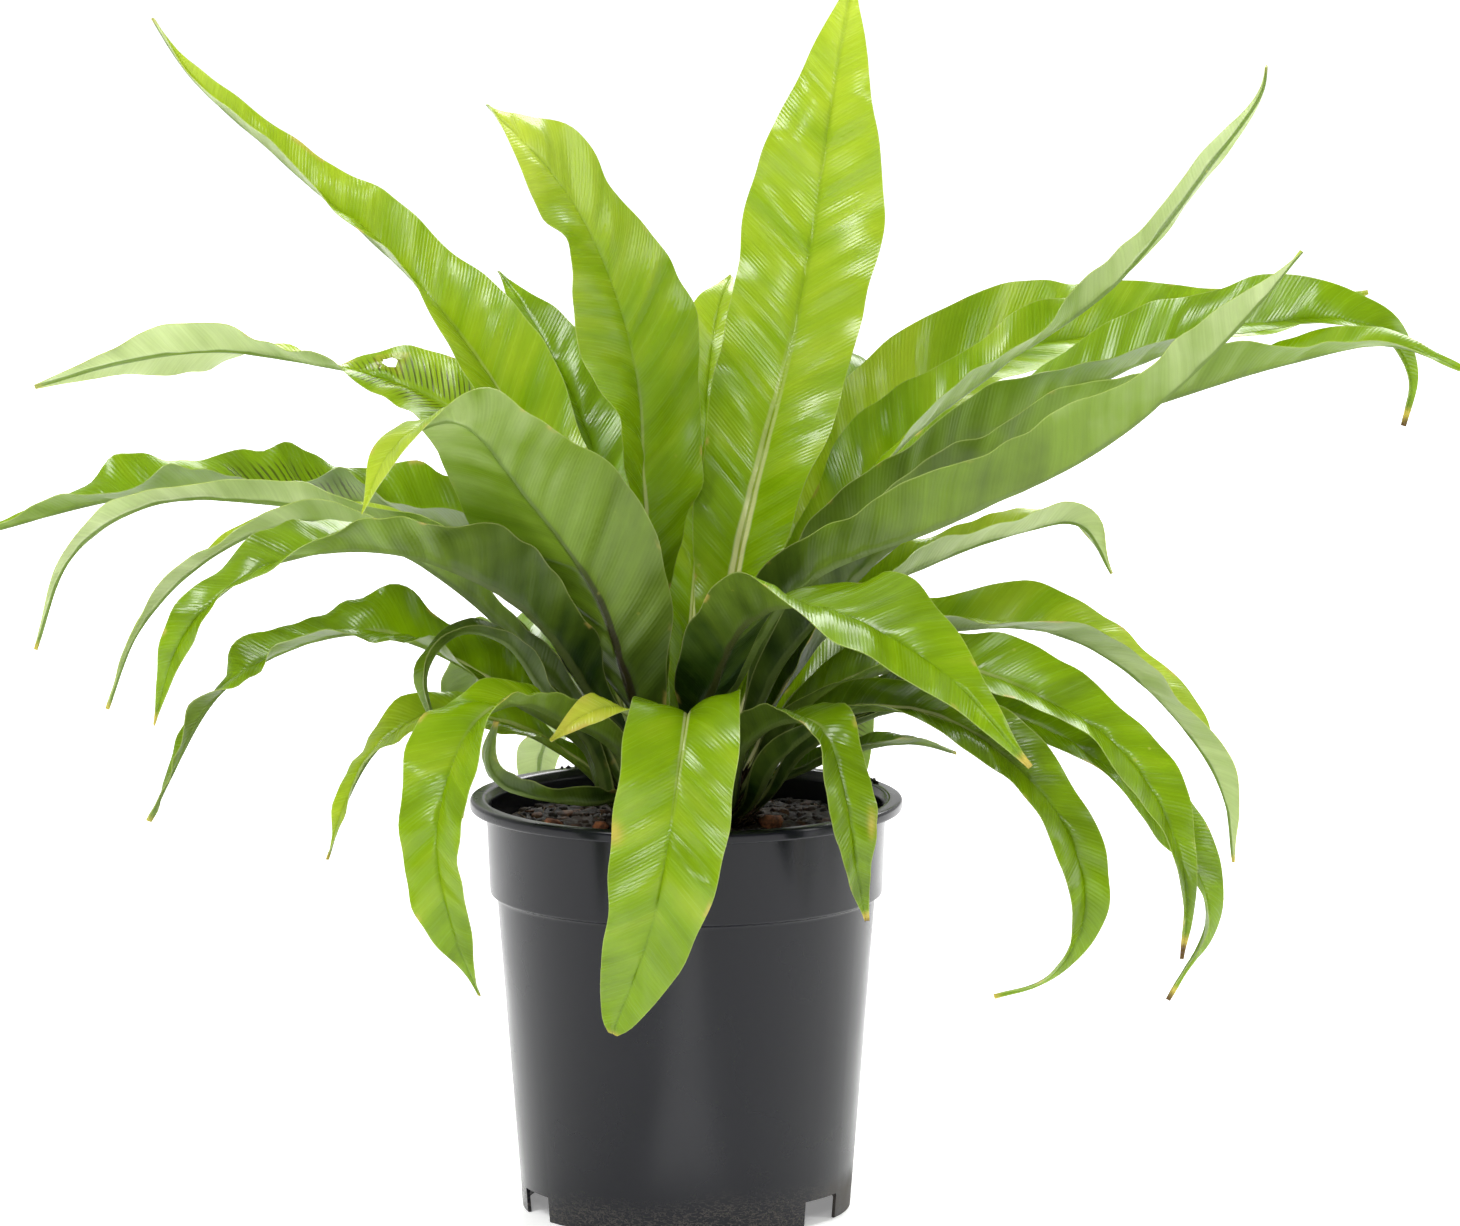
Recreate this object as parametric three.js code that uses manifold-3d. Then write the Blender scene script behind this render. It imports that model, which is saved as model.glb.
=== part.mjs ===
// A bird's nest fern in a round black nursery pot.
// Millimetres, +Z up. The origin is the centre of the pot's base, on the surface that it stands on.
// Azimuths are degrees in plan: 0 is +X, 90 is +Y, and the plant is seen from -Y.
import * as THREE from "three";
import { mergeVertices } from "three/addons/utils/BufferGeometryUtils.js";
import Module from "manifold-3d";

const wasm = await Module();
wasm.setup();

// Pot
const POT_HEIGHT = 163;
const RIM_RADIUS = 85;
const RIM_INNER_RADIUS = 79.3;
const LIP_DROP = 4.5;
const LIP_ROUND = 0.9;
const BAND_RADIUS = 78.6;
const LEDGE_HEIGHT = 124.5;
const LEDGE_RADIUS = 77.1;
const LEDGE_STEP = 2.7;
const FOOT_RADIUS = 64.6;
const WALL = 1.5;
const FLOOR_HEIGHT = 10.5;
const PAD_RADIUS = 26;
const PAD_SLOPE = 4;
const POT_SIDES = 48;
const NOTCH_AZIMUTHS = [-35, 85, 205];
const NOTCH_WIDTH = 21;
const NOTCH_HEIGHT = 10;
const NOTCH_DEEP = 30;
const DRAIN_HOLES = 6;
const DRAIN_RADIUS = 5;
const DRAIN_CIRCLE = 45;

// Soil and crown
const GAP = 0.3;
const SOIL_EDGE = 151;
const SOIL_RADIUS = 76;
const SOIL_MOUND = 2.4;
const SOIL_RINGS = 5;
const SOIL_SIDES = 30;
const SOIL_CLEAR = GAP + 0.4;
const LUMPS = 14;
const LUMP_SEED = 11;
const CHIPS = [
  { at: [33, -12, 155], size: [6, 4.5, 3.2] },
  { at: [-52, -14, 154.5], size: [4.5, 3.5, 2.4] },
  { at: [-34, -20, 154.5], size: [4, 3, 2.6] },
];
const CROWN_CENTRE = new THREE.Vector3(0, 0, 156);
const CROWN_RADIUS = 26;
const CROWN_RISE = 22;

// Fronds
const BLADE = 0.9;
const STALK_THICK = 3.6;
const STALK_WIDE = 5;
const RIB = 1.1;
const TIP_WIDE = 1.4;
const EDGE_CURL = 8;
const EDGE_LAG = 0.17;
const STEP_LENGTH = 20;
const ACROSS = [-1, -0.5, 0, 0.5, 1];
const BASE_DEPTH = 4;
const STALK_RISE = 13;
const TIER_POLAR = [20, 43, 65, 86];

const rad = THREE.MathUtils.degToRad;

const COLOUR = { pot: 0x25262a, soil: 0x2a1c12, crown: 0x4a3520, bark: 0x8a4a28, frond: 0x8fb814 };

// Every frond, from the youngest tier in the middle of the crown (0) to the oldest outside (3).
// az: where it leaves the crown; wide: blade widths spread evenly between the stalk and the tip;
// roll: turn about the midrib, positive raises the left side seen from the crown;
// fold: how far the two halves rise from flat; wave: height and number of the ruffles;
// midrib: points along the midrib beyond the stalk.
const FRONDS = [
  // Upright fronds in the heart
  {
    name: "tall_middle",
    az: 78,
    tier: 0,
    wide: [14, 30, 44, 50, 54, 57, 46, 26],
    roll: [0],
    fold: [45, 18, 8, 5],
    wave: [3, 4],
    midrib: [[11, 17, 203], [22, 27, 262], [45, 50, 353], [59, 62, 440], [66, 62, 482]],
  },
  {
    name: "tall_left",
    az: 140,
    tier: 0,
    wide: [14, 22, 36, 60, 66, 58, 46, 46],
    roll: [30, 10, 0, 20],
    fold: [45, 30, 10, 6],
    wave: [3, 4],
    midrib: [[-12, 10, 200], [-16, 12, 270], [-21, 3, 339], [-43, -18, 399], [-76, -38, 440]],
  },
  {
    name: "long_left",
    az: 142,
    tier: 1,
    wide: [14, 28, 42, 50, 46, 34, 22, 11],
    roll: [-20, -30, -12, 5],
    fold: [50, 45, 50],
    wave: [2, 5],
    midrib: [
      [-27, 32, 216], [-60, 66, 290], [-103, 91, 350], [-155, 100, 398], [-197, 98, 437],
      [-212, 90, 461],
    ],
  },
  {
    name: "front_left",
    az: 236,
    tier: 0,
    wide: [16, 34, 54, 66, 64, 46, 33, 20],
    roll: [0, 10, 30, 28, 10],
    fold: [40, 20, 10],
    wave: [2, 4],
    midrib: [
      [-17, -24, 198], [-33, -40, 247], [-62, -62, 292], [-88, -88, 324], [-112, -106, 315],
      [-123, -110, 291],
    ],
  },
  {
    name: "front_right",
    az: 289,
    tier: 0,
    wide: [18, 33, 40, 46, 54, 38, 16],
    roll: [0, 0, 10],
    fold: [40, 25, 5],
    wave: [3, 3],
    midrib: [
      [9, -40, 209], [20, -62, 238], [36, -84, 252], [62, -110, 252], [101, -130, 231],
      [131, -138, 198],
    ],
  },
  {
    name: "long_right",
    az: 340,
    tier: 0,
    wide: [12, 26, 37, 44, 44, 38, 24],
    roll: [0, -10, -10],
    fold: [50, 52, 40],
    wave: [2, 5],
    midrib: [
      [20, -26, 214], [46, -52, 256], [102, -76, 284], [160, -90, 315], [205, -94, 355],
      [235, -88, 389],
    ],
  },
  {
    name: "high_right",
    az: 34,
    tier: 1,
    wide: [9, 22, 34, 36, 30, 21, 15, 9],
    roll: [0, 0, 10, 0, -90, -95],
    fold: [50, 45, 30],
    wave: [2, 5],
    midrib: [
      [36, 26, 224], [75, 50, 286], [122, 70, 323], [170, 83, 356], [208, 91, 402], [229, 92, 432],
      [230, 88, 442],
    ],
  },
  // Arching fronds behind and beside them
  {
    name: "arch_right",
    az: 54,
    tier: 2,
    wide: [14, 28, 42, 50, 52, 50, 38],
    roll: [10, 25, 30, 10],
    fold: [45, 30, 20],
    wave: [2, 5],
    midrib: [
      [31, 48, 218], [62, 82, 278], [106, 112, 317], [166, 140, 328], [224, 156, 329],
      [250, 158, 335], [276, 158, 343],
    ],
  },
  {
    name: "back_right",
    az: 76,
    tier: 2,
    wide: [14, 22, 30, 34, 34, 28, 18],
    roll: [0],
    fold: [45, 30, 15],
    wave: [2, 4],
    midrib: [
      [24, 64, 220], [44, 108, 272], [62, 142, 302], [76, 166, 312], [86, 186, 305],
      [96, 206, 288],
    ],
  },
  {
    name: "back_middle",
    az: 96,
    tier: 1,
    wide: [14, 26, 36, 42, 42, 36, 24],
    roll: [0],
    fold: [45, 30, 15],
    wave: [2, 4],
    midrib: [[2, 48, 225], [6, 76, 278], [9, 94, 320], [13, 106, 345], [18, 124, 354]],
  },
  {
    name: "back_left",
    az: 106,
    tier: 2,
    wide: [12, 22, 32, 40, 40, 34, 22],
    roll: [0],
    fold: [45, 30, 15],
    wave: [2, 4],
    midrib: [[-20, 66, 236], [-40, 102, 294], [-57, 122, 328], [-76, 140, 354]],
  },
  {
    name: "torn_left",
    az: 130,
    tier: 2,
    wide: [12, 20, 28, 34, 38, 38, 30, 9, 26, 24, 12],
    roll: [-10, -30, -45, -20, 50, 60],
    fold: [45, 35, 20, 10],
    wave: [3, 6],
    midrib: [
      [-38, 46, 228], [-70, 78, 287], [-111, 94, 313], [-151, 96, 323], [-190, 92, 328],
      [-229, 87, 323], [-260, 84, 314],
    ],
  },
  {
    name: "wavy_left",
    az: 172,
    tier: 1,
    wide: [14, 26, 34, 38, 38, 36, 24],
    roll: [-10, -15, -10, 0],
    fold: [50, 45, 35],
    wave: [4, 5.5],
    midrib: [
      [-35, 12, 202], [-57, 23, 234], [-84, 26, 262], [-118, 22, 274], [-152, 14, 280],
      [-216, -4, 283], [-277, -14, 269],
    ],
  },
  {
    name: "grey_left_a",
    az: 184,
    tier: 2,
    wide: [10, 16, 20, 20, 18, 14, 8],
    roll: [0, 0, 30, 50],
    fold: [40, 40, 30],
    wave: [1.5, 5],
    midrib: [
      [-36, -1, 203], [-60, -2, 236], [-88, -6, 260], [-120, -10, 273], [-166, -18, 283],
      [-208, -25, 283], [-239, -29, 263], [-253, -29, 226],
    ],
  },
  {
    name: "grey_left_b",
    az: 203,
    tier: 2,
    wide: [12, 18, 22, 22, 18, 13, 8],
    roll: [0, 0, 20, 40],
    fold: [40, 40, 30],
    wave: [1.5, 5],
    midrib: [
      [-38, -9, 192], [-60, -14, 221], [-88, -22, 249], [-119, -29, 269], [-150, -36, 278],
      [-184, -42, 265], [-212, -48, 237], [-224, -50, 206],
    ],
  },
  {
    name: "broad_left",
    az: 217,
    tier: 1,
    wide: [12, 28, 44, 50, 38, 27, 15],
    roll: [20, 20, 0, -25],
    fold: [45, 35, 20],
    wave: [3, 5],
    midrib: [
      [-35, -21, 204], [-57, -41, 239], [-84, -59, 260], [-112, -70, 271], [-144, -82, 272],
      [-172, -88, 262], [-194, -90, 238], [-204, -88, 206],
    ],
  },
  {
    name: "front_middle",
    az: 268,
    tier: 1,
    wide: [16, 34, 44, 47, 44, 38, 28],
    roll: [0],
    fold: [45, 24, 10, 6],
    wave: [2, 3],
    midrib: [
      [2, -44, 190], [1, -66, 207], [0, -86, 205], [-5, -101, 172], [-12, -104, 133],
      [-28, -92, 86],
    ],
  },
  {
    name: "right_under",
    az: 342,
    tier: 1,
    wide: [16, 30, 40, 42, 42, 36, 22],
    roll: [-10, -20, -10, 20],
    fold: [50, 45, 35, 20],
    wave: [2, 6],
    midrib: [
      [37, -16, 219], [68, -28, 256], [102, -34, 284], [151, -40, 313], [199, -44, 331],
      [234, -42, 341], [271, -38, 347], [306, -30, 334],
    ],
  },
  {
    name: "right_hook",
    az: 5,
    tier: 1,
    wide: [16, 30, 38, 42, 42, 38, 22],
    roll: [-10, -20, -10, 30, 45],
    fold: [50, 50, 40, 30],
    wave: [2, 5],
    midrib: [
      [33, 4, 221], [62, 6, 263], [103, 4, 297], [149, 0, 322], [202, -8, 346], [242, -14, 354],
      [270, -16, 349], [282, -16, 331], [279, -16, 312],
    ],
  },
  {
    name: "pale_right",
    az: 25,
    tier: 2,
    wide: [12, 22, 26, 28, 28, 26, 18],
    roll: [0, 0, -20],
    fold: [45, 40, 30],
    wave: [2, 4],
    midrib: [
      [40, 14, 204], [66, 22, 236], [100, 26, 254], [131, 30, 264], [155, 32, 267], [168, 30, 247],
    ],
  },
  // Low fronds that hang over the rim
  {
    name: "low_right_a",
    az: 1,
    tier: 2,
    wide: [16, 26, 32, 34, 34, 30, 18],
    roll: [0, 8, 20, 0, -30],
    fold: [45, 40, 30],
    wave: [2, 4],
    midrib: [
      [46, 0, 202], [76, 0, 224], [110, -2, 231], [142, -4, 230], [167, -6, 219], [194, -8, 194],
      [211, -10, 166], [215, -6, 138],
    ],
  },
  {
    name: "low_right_b",
    az: 340,
    tier: 2,
    wide: [18, 28, 34, 34, 30, 24, 14],
    roll: [0, 25, 30, 20],
    fold: [45, 30, 20],
    wave: [2, 4],
    midrib: [
      [44, -22, 199], [80, -33, 220], [110, -42, 220], [139, -50, 210], [165, -57, 195],
      [184, -63, 170], [194, -68, 137], [192, -69, 111],
    ],
  },
  {
    name: "low_right_c",
    az: 350,
    tier: 3,
    wide: [16, 24, 30, 34, 32, 27, 16],
    roll: [0, 25, 30, 10],
    fold: [45, 30, 20],
    wave: [2, 4],
    midrib: [
      [46, -12, 184], [84, -18, 202], [122, -24, 201], [156, -30, 186], [187, -34, 158],
      [204, -36, 122], [188, -38, 89],
    ],
  },
  {
    name: "low_right_d",
    az: 322,
    tier: 3,
    wide: [16, 22, 27, 28, 25, 20, 10],
    roll: [0, 25, 25, 10],
    fold: [45, 30, 15],
    wave: [2, 4],
    midrib: [
      [37, -34, 186], [66, -51, 206], [98, -62, 205], [127, -73, 188], [148, -79, 162],
      [154, -82, 130], [140, -84, 106], [119, -83, 99],
    ],
  },
  {
    name: "low_front_right",
    az: 301,
    tier: 3,
    wide: [14, 19, 22, 24, 23, 20, 13],
    roll: [0],
    fold: [45, 30, 12],
    wave: [2, 4],
    midrib: [
      [22, -34, 187], [37, -52, 202], [53, -72, 202], [62, -84, 177], [66, -85, 150],
      [70, -80, 128],
    ],
  },
  {
    name: "low_front_left",
    az: 235,
    tier: 3,
    wide: [12, 19, 27, 34, 33, 30, 18],
    roll: [0, 0, -10],
    fold: [45, 30, 12],
    wave: [3, 4],
    midrib: [
      [-28, -36, 189], [-47, -54, 203], [-66, -74, 213], [-84, -99, 204], [-95, -114, 170],
      [-90, -115, 134], [-79, -108, 104],
    ],
  },
  {
    name: "low_left_a",
    az: 186,
    tier: 3,
    wide: [16, 28, 36, 34, 24, 17, 10],
    roll: [0, -25, -15, 20],
    fold: [45, 30, 25],
    wave: [4, 5],
    midrib: [
      [-38, -2, 182], [-65, -5, 201], [-94, -9, 221], [-123, -14, 231], [-155, -18, 225],
      [-183, -20, 207], [-202, -20, 174], [-210, -16, 156],
    ],
  },
  {
    name: "low_left_b",
    az: 202,
    tier: 3,
    wide: [8, 10, 12, 13, 12, 11, 8],
    roll: [0],
    fold: [45, 40, 30],
    wave: [1, 4],
    midrib: [
      [-38, -18, 188], [-55, -26, 209], [-70, -33, 230], [-88, -40, 235], [-101, -48, 221],
      [-97, -38, 194],
    ],
  },
  {
    name: "low_left_c",
    az: 167,
    tier: 3,
    wide: [10, 14, 18, 21, 20, 16, 9],
    roll: [0, -30, -35],
    fold: [40, 20, 15],
    wave: [2, 4],
    midrib: [
      [-50, 8, 181], [-73, 5, 192], [-98, 1, 197], [-120, -4, 185], [-134, -6, 162],
      [-141, -6, 139],
    ],
  },
  {
    name: "short_front",
    az: 253,
    tier: 3,
    wide: [8, 12, 18, 22, 20, 16, 9],
    roll: [-20],
    fold: [20, 10],
    wave: [1, 3],
    midrib: [[-17, -42, 196], [-26, -58, 208], [-37, -68, 208], [-52, -76, 198]],
  },
  {
    name: "short_left",
    az: 218.5,
    tier: 3,
    wide: [7, 10, 14, 14, 12, 11, 8],
    roll: [20],
    fold: [40, 30],
    wave: [1, 3],
    midrib: [[-38, -42, 168], [-60, -53, 173], [-72, -58, 178], [-77, -62, 188], [-73, -66, 204]],
  },
  {
    name: "low_right_e",
    az: 18,
    tier: 3,
    wide: [7, 10, 13, 14, 14, 13, 9],
    roll: [0],
    fold: [40, 20],
    wave: [1, 3],
    midrib: [[41, 18, 169], [69, 28, 178], [92, 34, 179], [107, 38, 174]],
  },
  {
    name: "low_back_left",
    az: 108,
    tier: 3,
    wide: [8, 12, 17, 20, 20, 18, 12],
    roll: [0],
    fold: [40, 20, 10],
    wave: [2, 4],
    midrib: [[-15, 40, 170], [-35, 76, 175], [-51, 108, 172], [-60, 134, 157], [-60, 150, 115]],
  },
  // Fronds at the back, hidden from the front
  {
    name: "behind_a",
    az: 38,
    tier: 3,
    wide: [14, 22, 28, 30, 30, 26, 16],
    roll: [0],
    fold: [45, 25, 12],
    wave: [2, 4],
    midrib: [[46, 36, 192], [80, 62, 210], [106, 84, 202], [120, 98, 176]],
  },
  {
    name: "behind_b",
    az: 60,
    tier: 3,
    wide: [14, 22, 28, 30, 30, 26, 16],
    roll: [0],
    fold: [45, 25, 12],
    wave: [2, 4],
    midrib: [
      [30, 50, 196], [47, 92, 220], [58, 140, 212], [64, 182, 184], [66, 206, 142], [64, 214, 104],
    ],
  },
  {
    name: "behind_c",
    az: 84,
    tier: 3,
    wide: [14, 22, 28, 30, 30, 26, 16],
    roll: [0],
    fold: [45, 25, 12],
    wave: [2, 4],
    midrib: [
      [6, 54, 196], [10, 100, 220], [14, 150, 214], [18, 194, 188], [20, 222, 146], [18, 234, 102],
    ],
  },
  {
    name: "behind_d",
    az: 132,
    tier: 3,
    wide: [14, 22, 28, 30, 30, 26, 16],
    roll: [0],
    fold: [45, 25, 12],
    wave: [2, 4],
    midrib: [[-36, 42, 192], [-62, 76, 214], [-80, 108, 206], [-90, 134, 168], [-92, 140, 130]],
  },
];

// A smooth value at s from a few values spread evenly from 0 to 1.
function along(values, s) {
  if (values.length === 1) return values[0];
  const at = s * (values.length - 1);
  const i = Math.min(Math.floor(at), values.length - 2);
  const t = at - i;
  return THREE.MathUtils.lerp(values[i], values[i + 1], t * t * (3 - 2 * t));
}

// A curve through values spread evenly from 0 to 1.
function curveThrough(values, s) {
  const at = s * (values.length - 1);
  const i = Math.min(Math.floor(at), values.length - 2);
  const [p0, p1, p2, p3] = [-1, 0, 1, 2].map((k) => values[THREE.MathUtils.clamp(i + k, 0, values.length - 1)]);
  const t = at - i;
  const bend = 2 * p0 - 5 * p1 + 4 * p2 - p3 + t * (3 * (p1 - p2) + p3 - p0);
  return p1 + (t / 2) * (p2 - p0 + t * bend);
}

const bladeWidth = ({ wide }, s) => Math.max(TIP_WIDE, curveThrough([STALK_WIDE, ...wide, TIP_WIDE], s));

// Where a frond leaves the crown, and the way that it points there.
function rootOf({ az, tier }) {
  const polar = rad(TIER_POLAR[tier]);
  const way = new THREE.Vector3(
    Math.sin(polar) * Math.cos(rad(az)),
    Math.sin(polar) * Math.sin(rad(az)),
    Math.cos(polar),
  );
  const reach = new THREE.Vector3(CROWN_RADIUS, CROWN_RADIUS, CROWN_RISE).subScalar(BASE_DEPTH);
  const start = way.clone().multiply(reach).add(CROWN_CENTRE);
  return { start, way };
}

// The section of a frond at s: its points over the upper face, then back under the lower one.
function section(frond, curve, s) {
  const { az, roll, fold, wave } = frond;
  const [ruffle, ruffles] = wave;
  const middle = curve.getPointAt(s);
  const tangent = curve.getTangentAt(s);
  const left = new THREE.Vector3(-Math.sin(rad(az)), Math.cos(rad(az)), 0);
  left.addScaledVector(tangent, -left.dot(tangent)).normalize();
  left.applyAxisAngle(tangent, rad(along(roll, s)));
  const face = new THREE.Vector3().crossVectors(tangent, left);
  const half = bladeWidth(frond, s) / 2;
  const rise = rad(along(fold, s));
  const bend = rad(EDGE_CURL);
  const stalk = 1 - THREE.MathUtils.smoothstep(s, 0.02, 0.16);
  const share = THREE.MathUtils.smoothstep(s, 0.12, 0.3) * (1 - 0.7 * THREE.MathUtils.smoothstep(s, 0.75, 1));
  const upper = [];
  const lower = [];
  for (const c of ACROSS) {
    const side = Math.sign(c);
    const inner = (half / 2) * Math.min(1, Math.abs(c) * 2);
    const outer = (half / 2) * Math.max(0, Math.abs(c) * 2 - 1);
    const ripple = Math.sin(2 * Math.PI * (ruffles * s + side * EDGE_LAG));
    const lift = ruffle * share * Math.pow(Math.abs(c), 1.5) * ripple;
    const open = rise * (1 - stalk);
    const out = inner * Math.cos(open) + outer * Math.cos(open - bend);
    const high = inner * Math.sin(open) + outer * Math.sin(open - bend) + lift;
    const tilt = c === 0 ? 0 : side * (open - bend * Math.max(0, Math.abs(c) * 2 - 1));
    const thick = THREE.MathUtils.lerp(BLADE, STALK_THICK, stalk) + (c === 0 ? RIB * (1 - s) : 0);
    const point = middle.clone().addScaledVector(left, side * out).addScaledVector(face, high);
    const normal = face.clone().multiplyScalar(Math.cos(tilt)).addScaledVector(left, -Math.sin(tilt));
    upper.push(point);
    lower.push(point.clone().addScaledVector(normal, -thick));
  }
  return { middle, left, face, ring: [...upper, ...lower.reverse()] };
}

// A closed skin over rings of points. Both faces of a blade are split along the same diagonals.
function loft(rings) {
  const count = rings[0].length;
  const positions = rings.flat().flatMap((p) => [p.x, p.y, p.z]);
  const index = [];
  for (let j = 0; j + 1 < rings.length; j++) {
    for (let i = 0; i < count; i++) {
      const a = j * count + i;
      const b = j * count + ((i + 1) % count);
      const c = b + count;
      const d = a + count;
      if (i < count / 2) index.push(a, d, b, b, d, c);
      else index.push(a, c, b, a, d, c);
    }
  }
  const last = (rings.length - 1) * count;
  for (let i = 0; i + 1 < count / 2; i++) {
    const [a, b, c, d] = [i, i + 1, count - 2 - i, count - 1 - i];
    index.push(a, b, c, a, c, d);
    index.push(last + a, last + c, last + b, last + a, last + d, last + c);
  }
  const geometry = new THREE.BufferGeometry();
  geometry.setAttribute("position", new THREE.Float32BufferAttribute(positions, 3));
  geometry.setIndex(index);
  return geometry;
}

function frondCurve(frond) {
  const { start, way } = rootOf(frond);
  const rise = way.clone().add(new THREE.Vector3(0, 0, 0.8)).normalize();
  const neck = start.clone().addScaledVector(rise, STALK_RISE);
  const points = [start, neck, ...frond.midrib.map((p) => new THREE.Vector3(...p))];
  return new THREE.CatmullRomCurve3(points, false, "centripetal");
}

const stepsOf = (curve) => Math.max(10, Math.round(curve.getLength() / STEP_LENGTH));

function frondGeometry(frond) {
  const curve = frondCurve(frond);
  const steps = stepsOf(curve);
  const rings = [];
  for (let j = 0; j <= steps; j++) rings.push(section(frond, curve, j / steps).ring);
  return loft(rings);
}

// The hole in the crown that a frond's stalk stands in: a box round its first sections, and a gap.
function socketGeometry(frond) {
  const curve = frondCurve(frond);
  const steps = stepsOf(curve);
  const rings = [0, 1, 2].map((j) => {
    const { middle, left, face, ring } = section(frond, curve, j / steps);
    const across = ring.map((p) => p.clone().sub(middle).dot(left));
    const up = ring.map((p) => p.clone().sub(middle).dot(face));
    const [right, wide, low, high] = [Math.min(...across), Math.max(...across), Math.min(...up), Math.max(...up)];
    const corner = (a, u) => middle.clone().addScaledVector(left, a).addScaledVector(face, u);
    return [
      corner(right - GAP, high + GAP),
      corner(wide + GAP, high + GAP),
      corner(wide + GAP, low - GAP),
      corner(right - GAP, low - GAP),
    ];
  });
  const back = curve.getTangentAt(0).multiplyScalar(-GAP);
  for (const p of rings[0]) p.add(back);
  return loft(rings);
}

// A three.js geometry as a solid that can be joined and cut, and back again.
function solidOf(geometry) {
  const bare = geometry.clone();
  bare.deleteAttribute("normal");
  bare.deleteAttribute("uv");
  const merged = mergeVertices(bare, 1e-3);
  return new wasm.Manifold(
    new wasm.Mesh({
      numProp: 3,
      vertProperties: merged.attributes.position.array,
      triVerts: new Uint32Array(merged.index.array),
    }),
  );
}

function geometryOf(solid) {
  const mesh = solid.getMesh();
  const geometry = new THREE.BufferGeometry();
  geometry.setAttribute("position", new THREE.BufferAttribute(new Float32Array(mesh.vertProperties), 3));
  geometry.setIndex(new THREE.BufferAttribute(new Uint32Array(mesh.triVerts), 1));
  geometry.computeVertexNormals();
  return geometry;
}

// A profile of [radius, height] points turned about the Z axis.
function turned(profile, sides) {
  const points = profile.map(([r, z]) => new THREE.Vector2(r, z));
  return new THREE.LatheGeometry(points, sides).rotateX(Math.PI / 2);
}

const wallRadius = (z) => THREE.MathUtils.lerp(FOOT_RADIUS, LEDGE_RADIUS - LEDGE_STEP, z / LEDGE_HEIGHT) - WALL;

function potGeometry() {
  const floorRadius = wallRadius(FLOOR_HEIGHT);
  const profile = [
    [0, 0],
    [PAD_RADIUS, 0],
    [PAD_RADIUS + PAD_SLOPE, FLOOR_HEIGHT - WALL],
    [wallRadius(FLOOR_HEIGHT - WALL), FLOOR_HEIGHT - WALL],
    [wallRadius(0), 0],
    [FOOT_RADIUS, 0],
    [LEDGE_RADIUS - LEDGE_STEP, LEDGE_HEIGHT],
    [LEDGE_RADIUS, LEDGE_HEIGHT + LIP_ROUND],
    [BAND_RADIUS, POT_HEIGHT - LIP_DROP - LIP_ROUND],
    [RIM_RADIUS - LIP_ROUND, POT_HEIGHT - LIP_DROP],
    [RIM_RADIUS, POT_HEIGHT - LIP_DROP + LIP_ROUND],
    [RIM_RADIUS, POT_HEIGHT - LIP_ROUND],
    [RIM_RADIUS - LIP_ROUND, POT_HEIGHT],
    [RIM_INNER_RADIUS, POT_HEIGHT],
    [BAND_RADIUS - WALL, POT_HEIGHT - 2 * WALL],
    [LEDGE_RADIUS - WALL, LEDGE_HEIGHT + WALL],
    [LEDGE_RADIUS - LEDGE_STEP - WALL, LEDGE_HEIGHT],
    [floorRadius, FLOOR_HEIGHT],
    [PAD_RADIUS + PAD_SLOPE, FLOOR_HEIGHT],
    [PAD_RADIUS, WALL],
    [0, WALL],
  ];
  let pot = solidOf(turned(profile, POT_SIDES));
  for (const az of NOTCH_AZIMUTHS) {
    const notch = new THREE.BoxGeometry(NOTCH_DEEP, NOTCH_WIDTH, 2 * NOTCH_HEIGHT);
    notch.translate(FOOT_RADIUS, 0, 0).rotateZ(rad(az));
    pot = pot.subtract(solidOf(notch));
  }
  for (let i = 0; i < DRAIN_HOLES; i++) {
    const hole = new THREE.CylinderGeometry(DRAIN_RADIUS, DRAIN_RADIUS, 4 * WALL, 10).rotateX(Math.PI / 2);
    hole.translate(DRAIN_CIRCLE, 0, FLOOR_HEIGHT - WALL / 2).rotateZ((2 * Math.PI * i) / DRAIN_HOLES);
    pot = pot.subtract(solidOf(hole));
  }
  return geometryOf(pot);
}

// The soil's surface: a low mound, with a lumpy texture made of a few crossing waves.
function soilHeight(r, a) {
  const lumps = Math.sin(7 * a + r * 0.21) * Math.cos(r * 0.29 - 3 * a) + 0.6 * Math.sin(13 * a - r * 0.4);
  return SOIL_EDGE + SOIL_MOUND * (1 - (r / SOIL_RADIUS) ** 2) + 0.9 * lumps * Math.min(1, r / 20);
}

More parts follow.
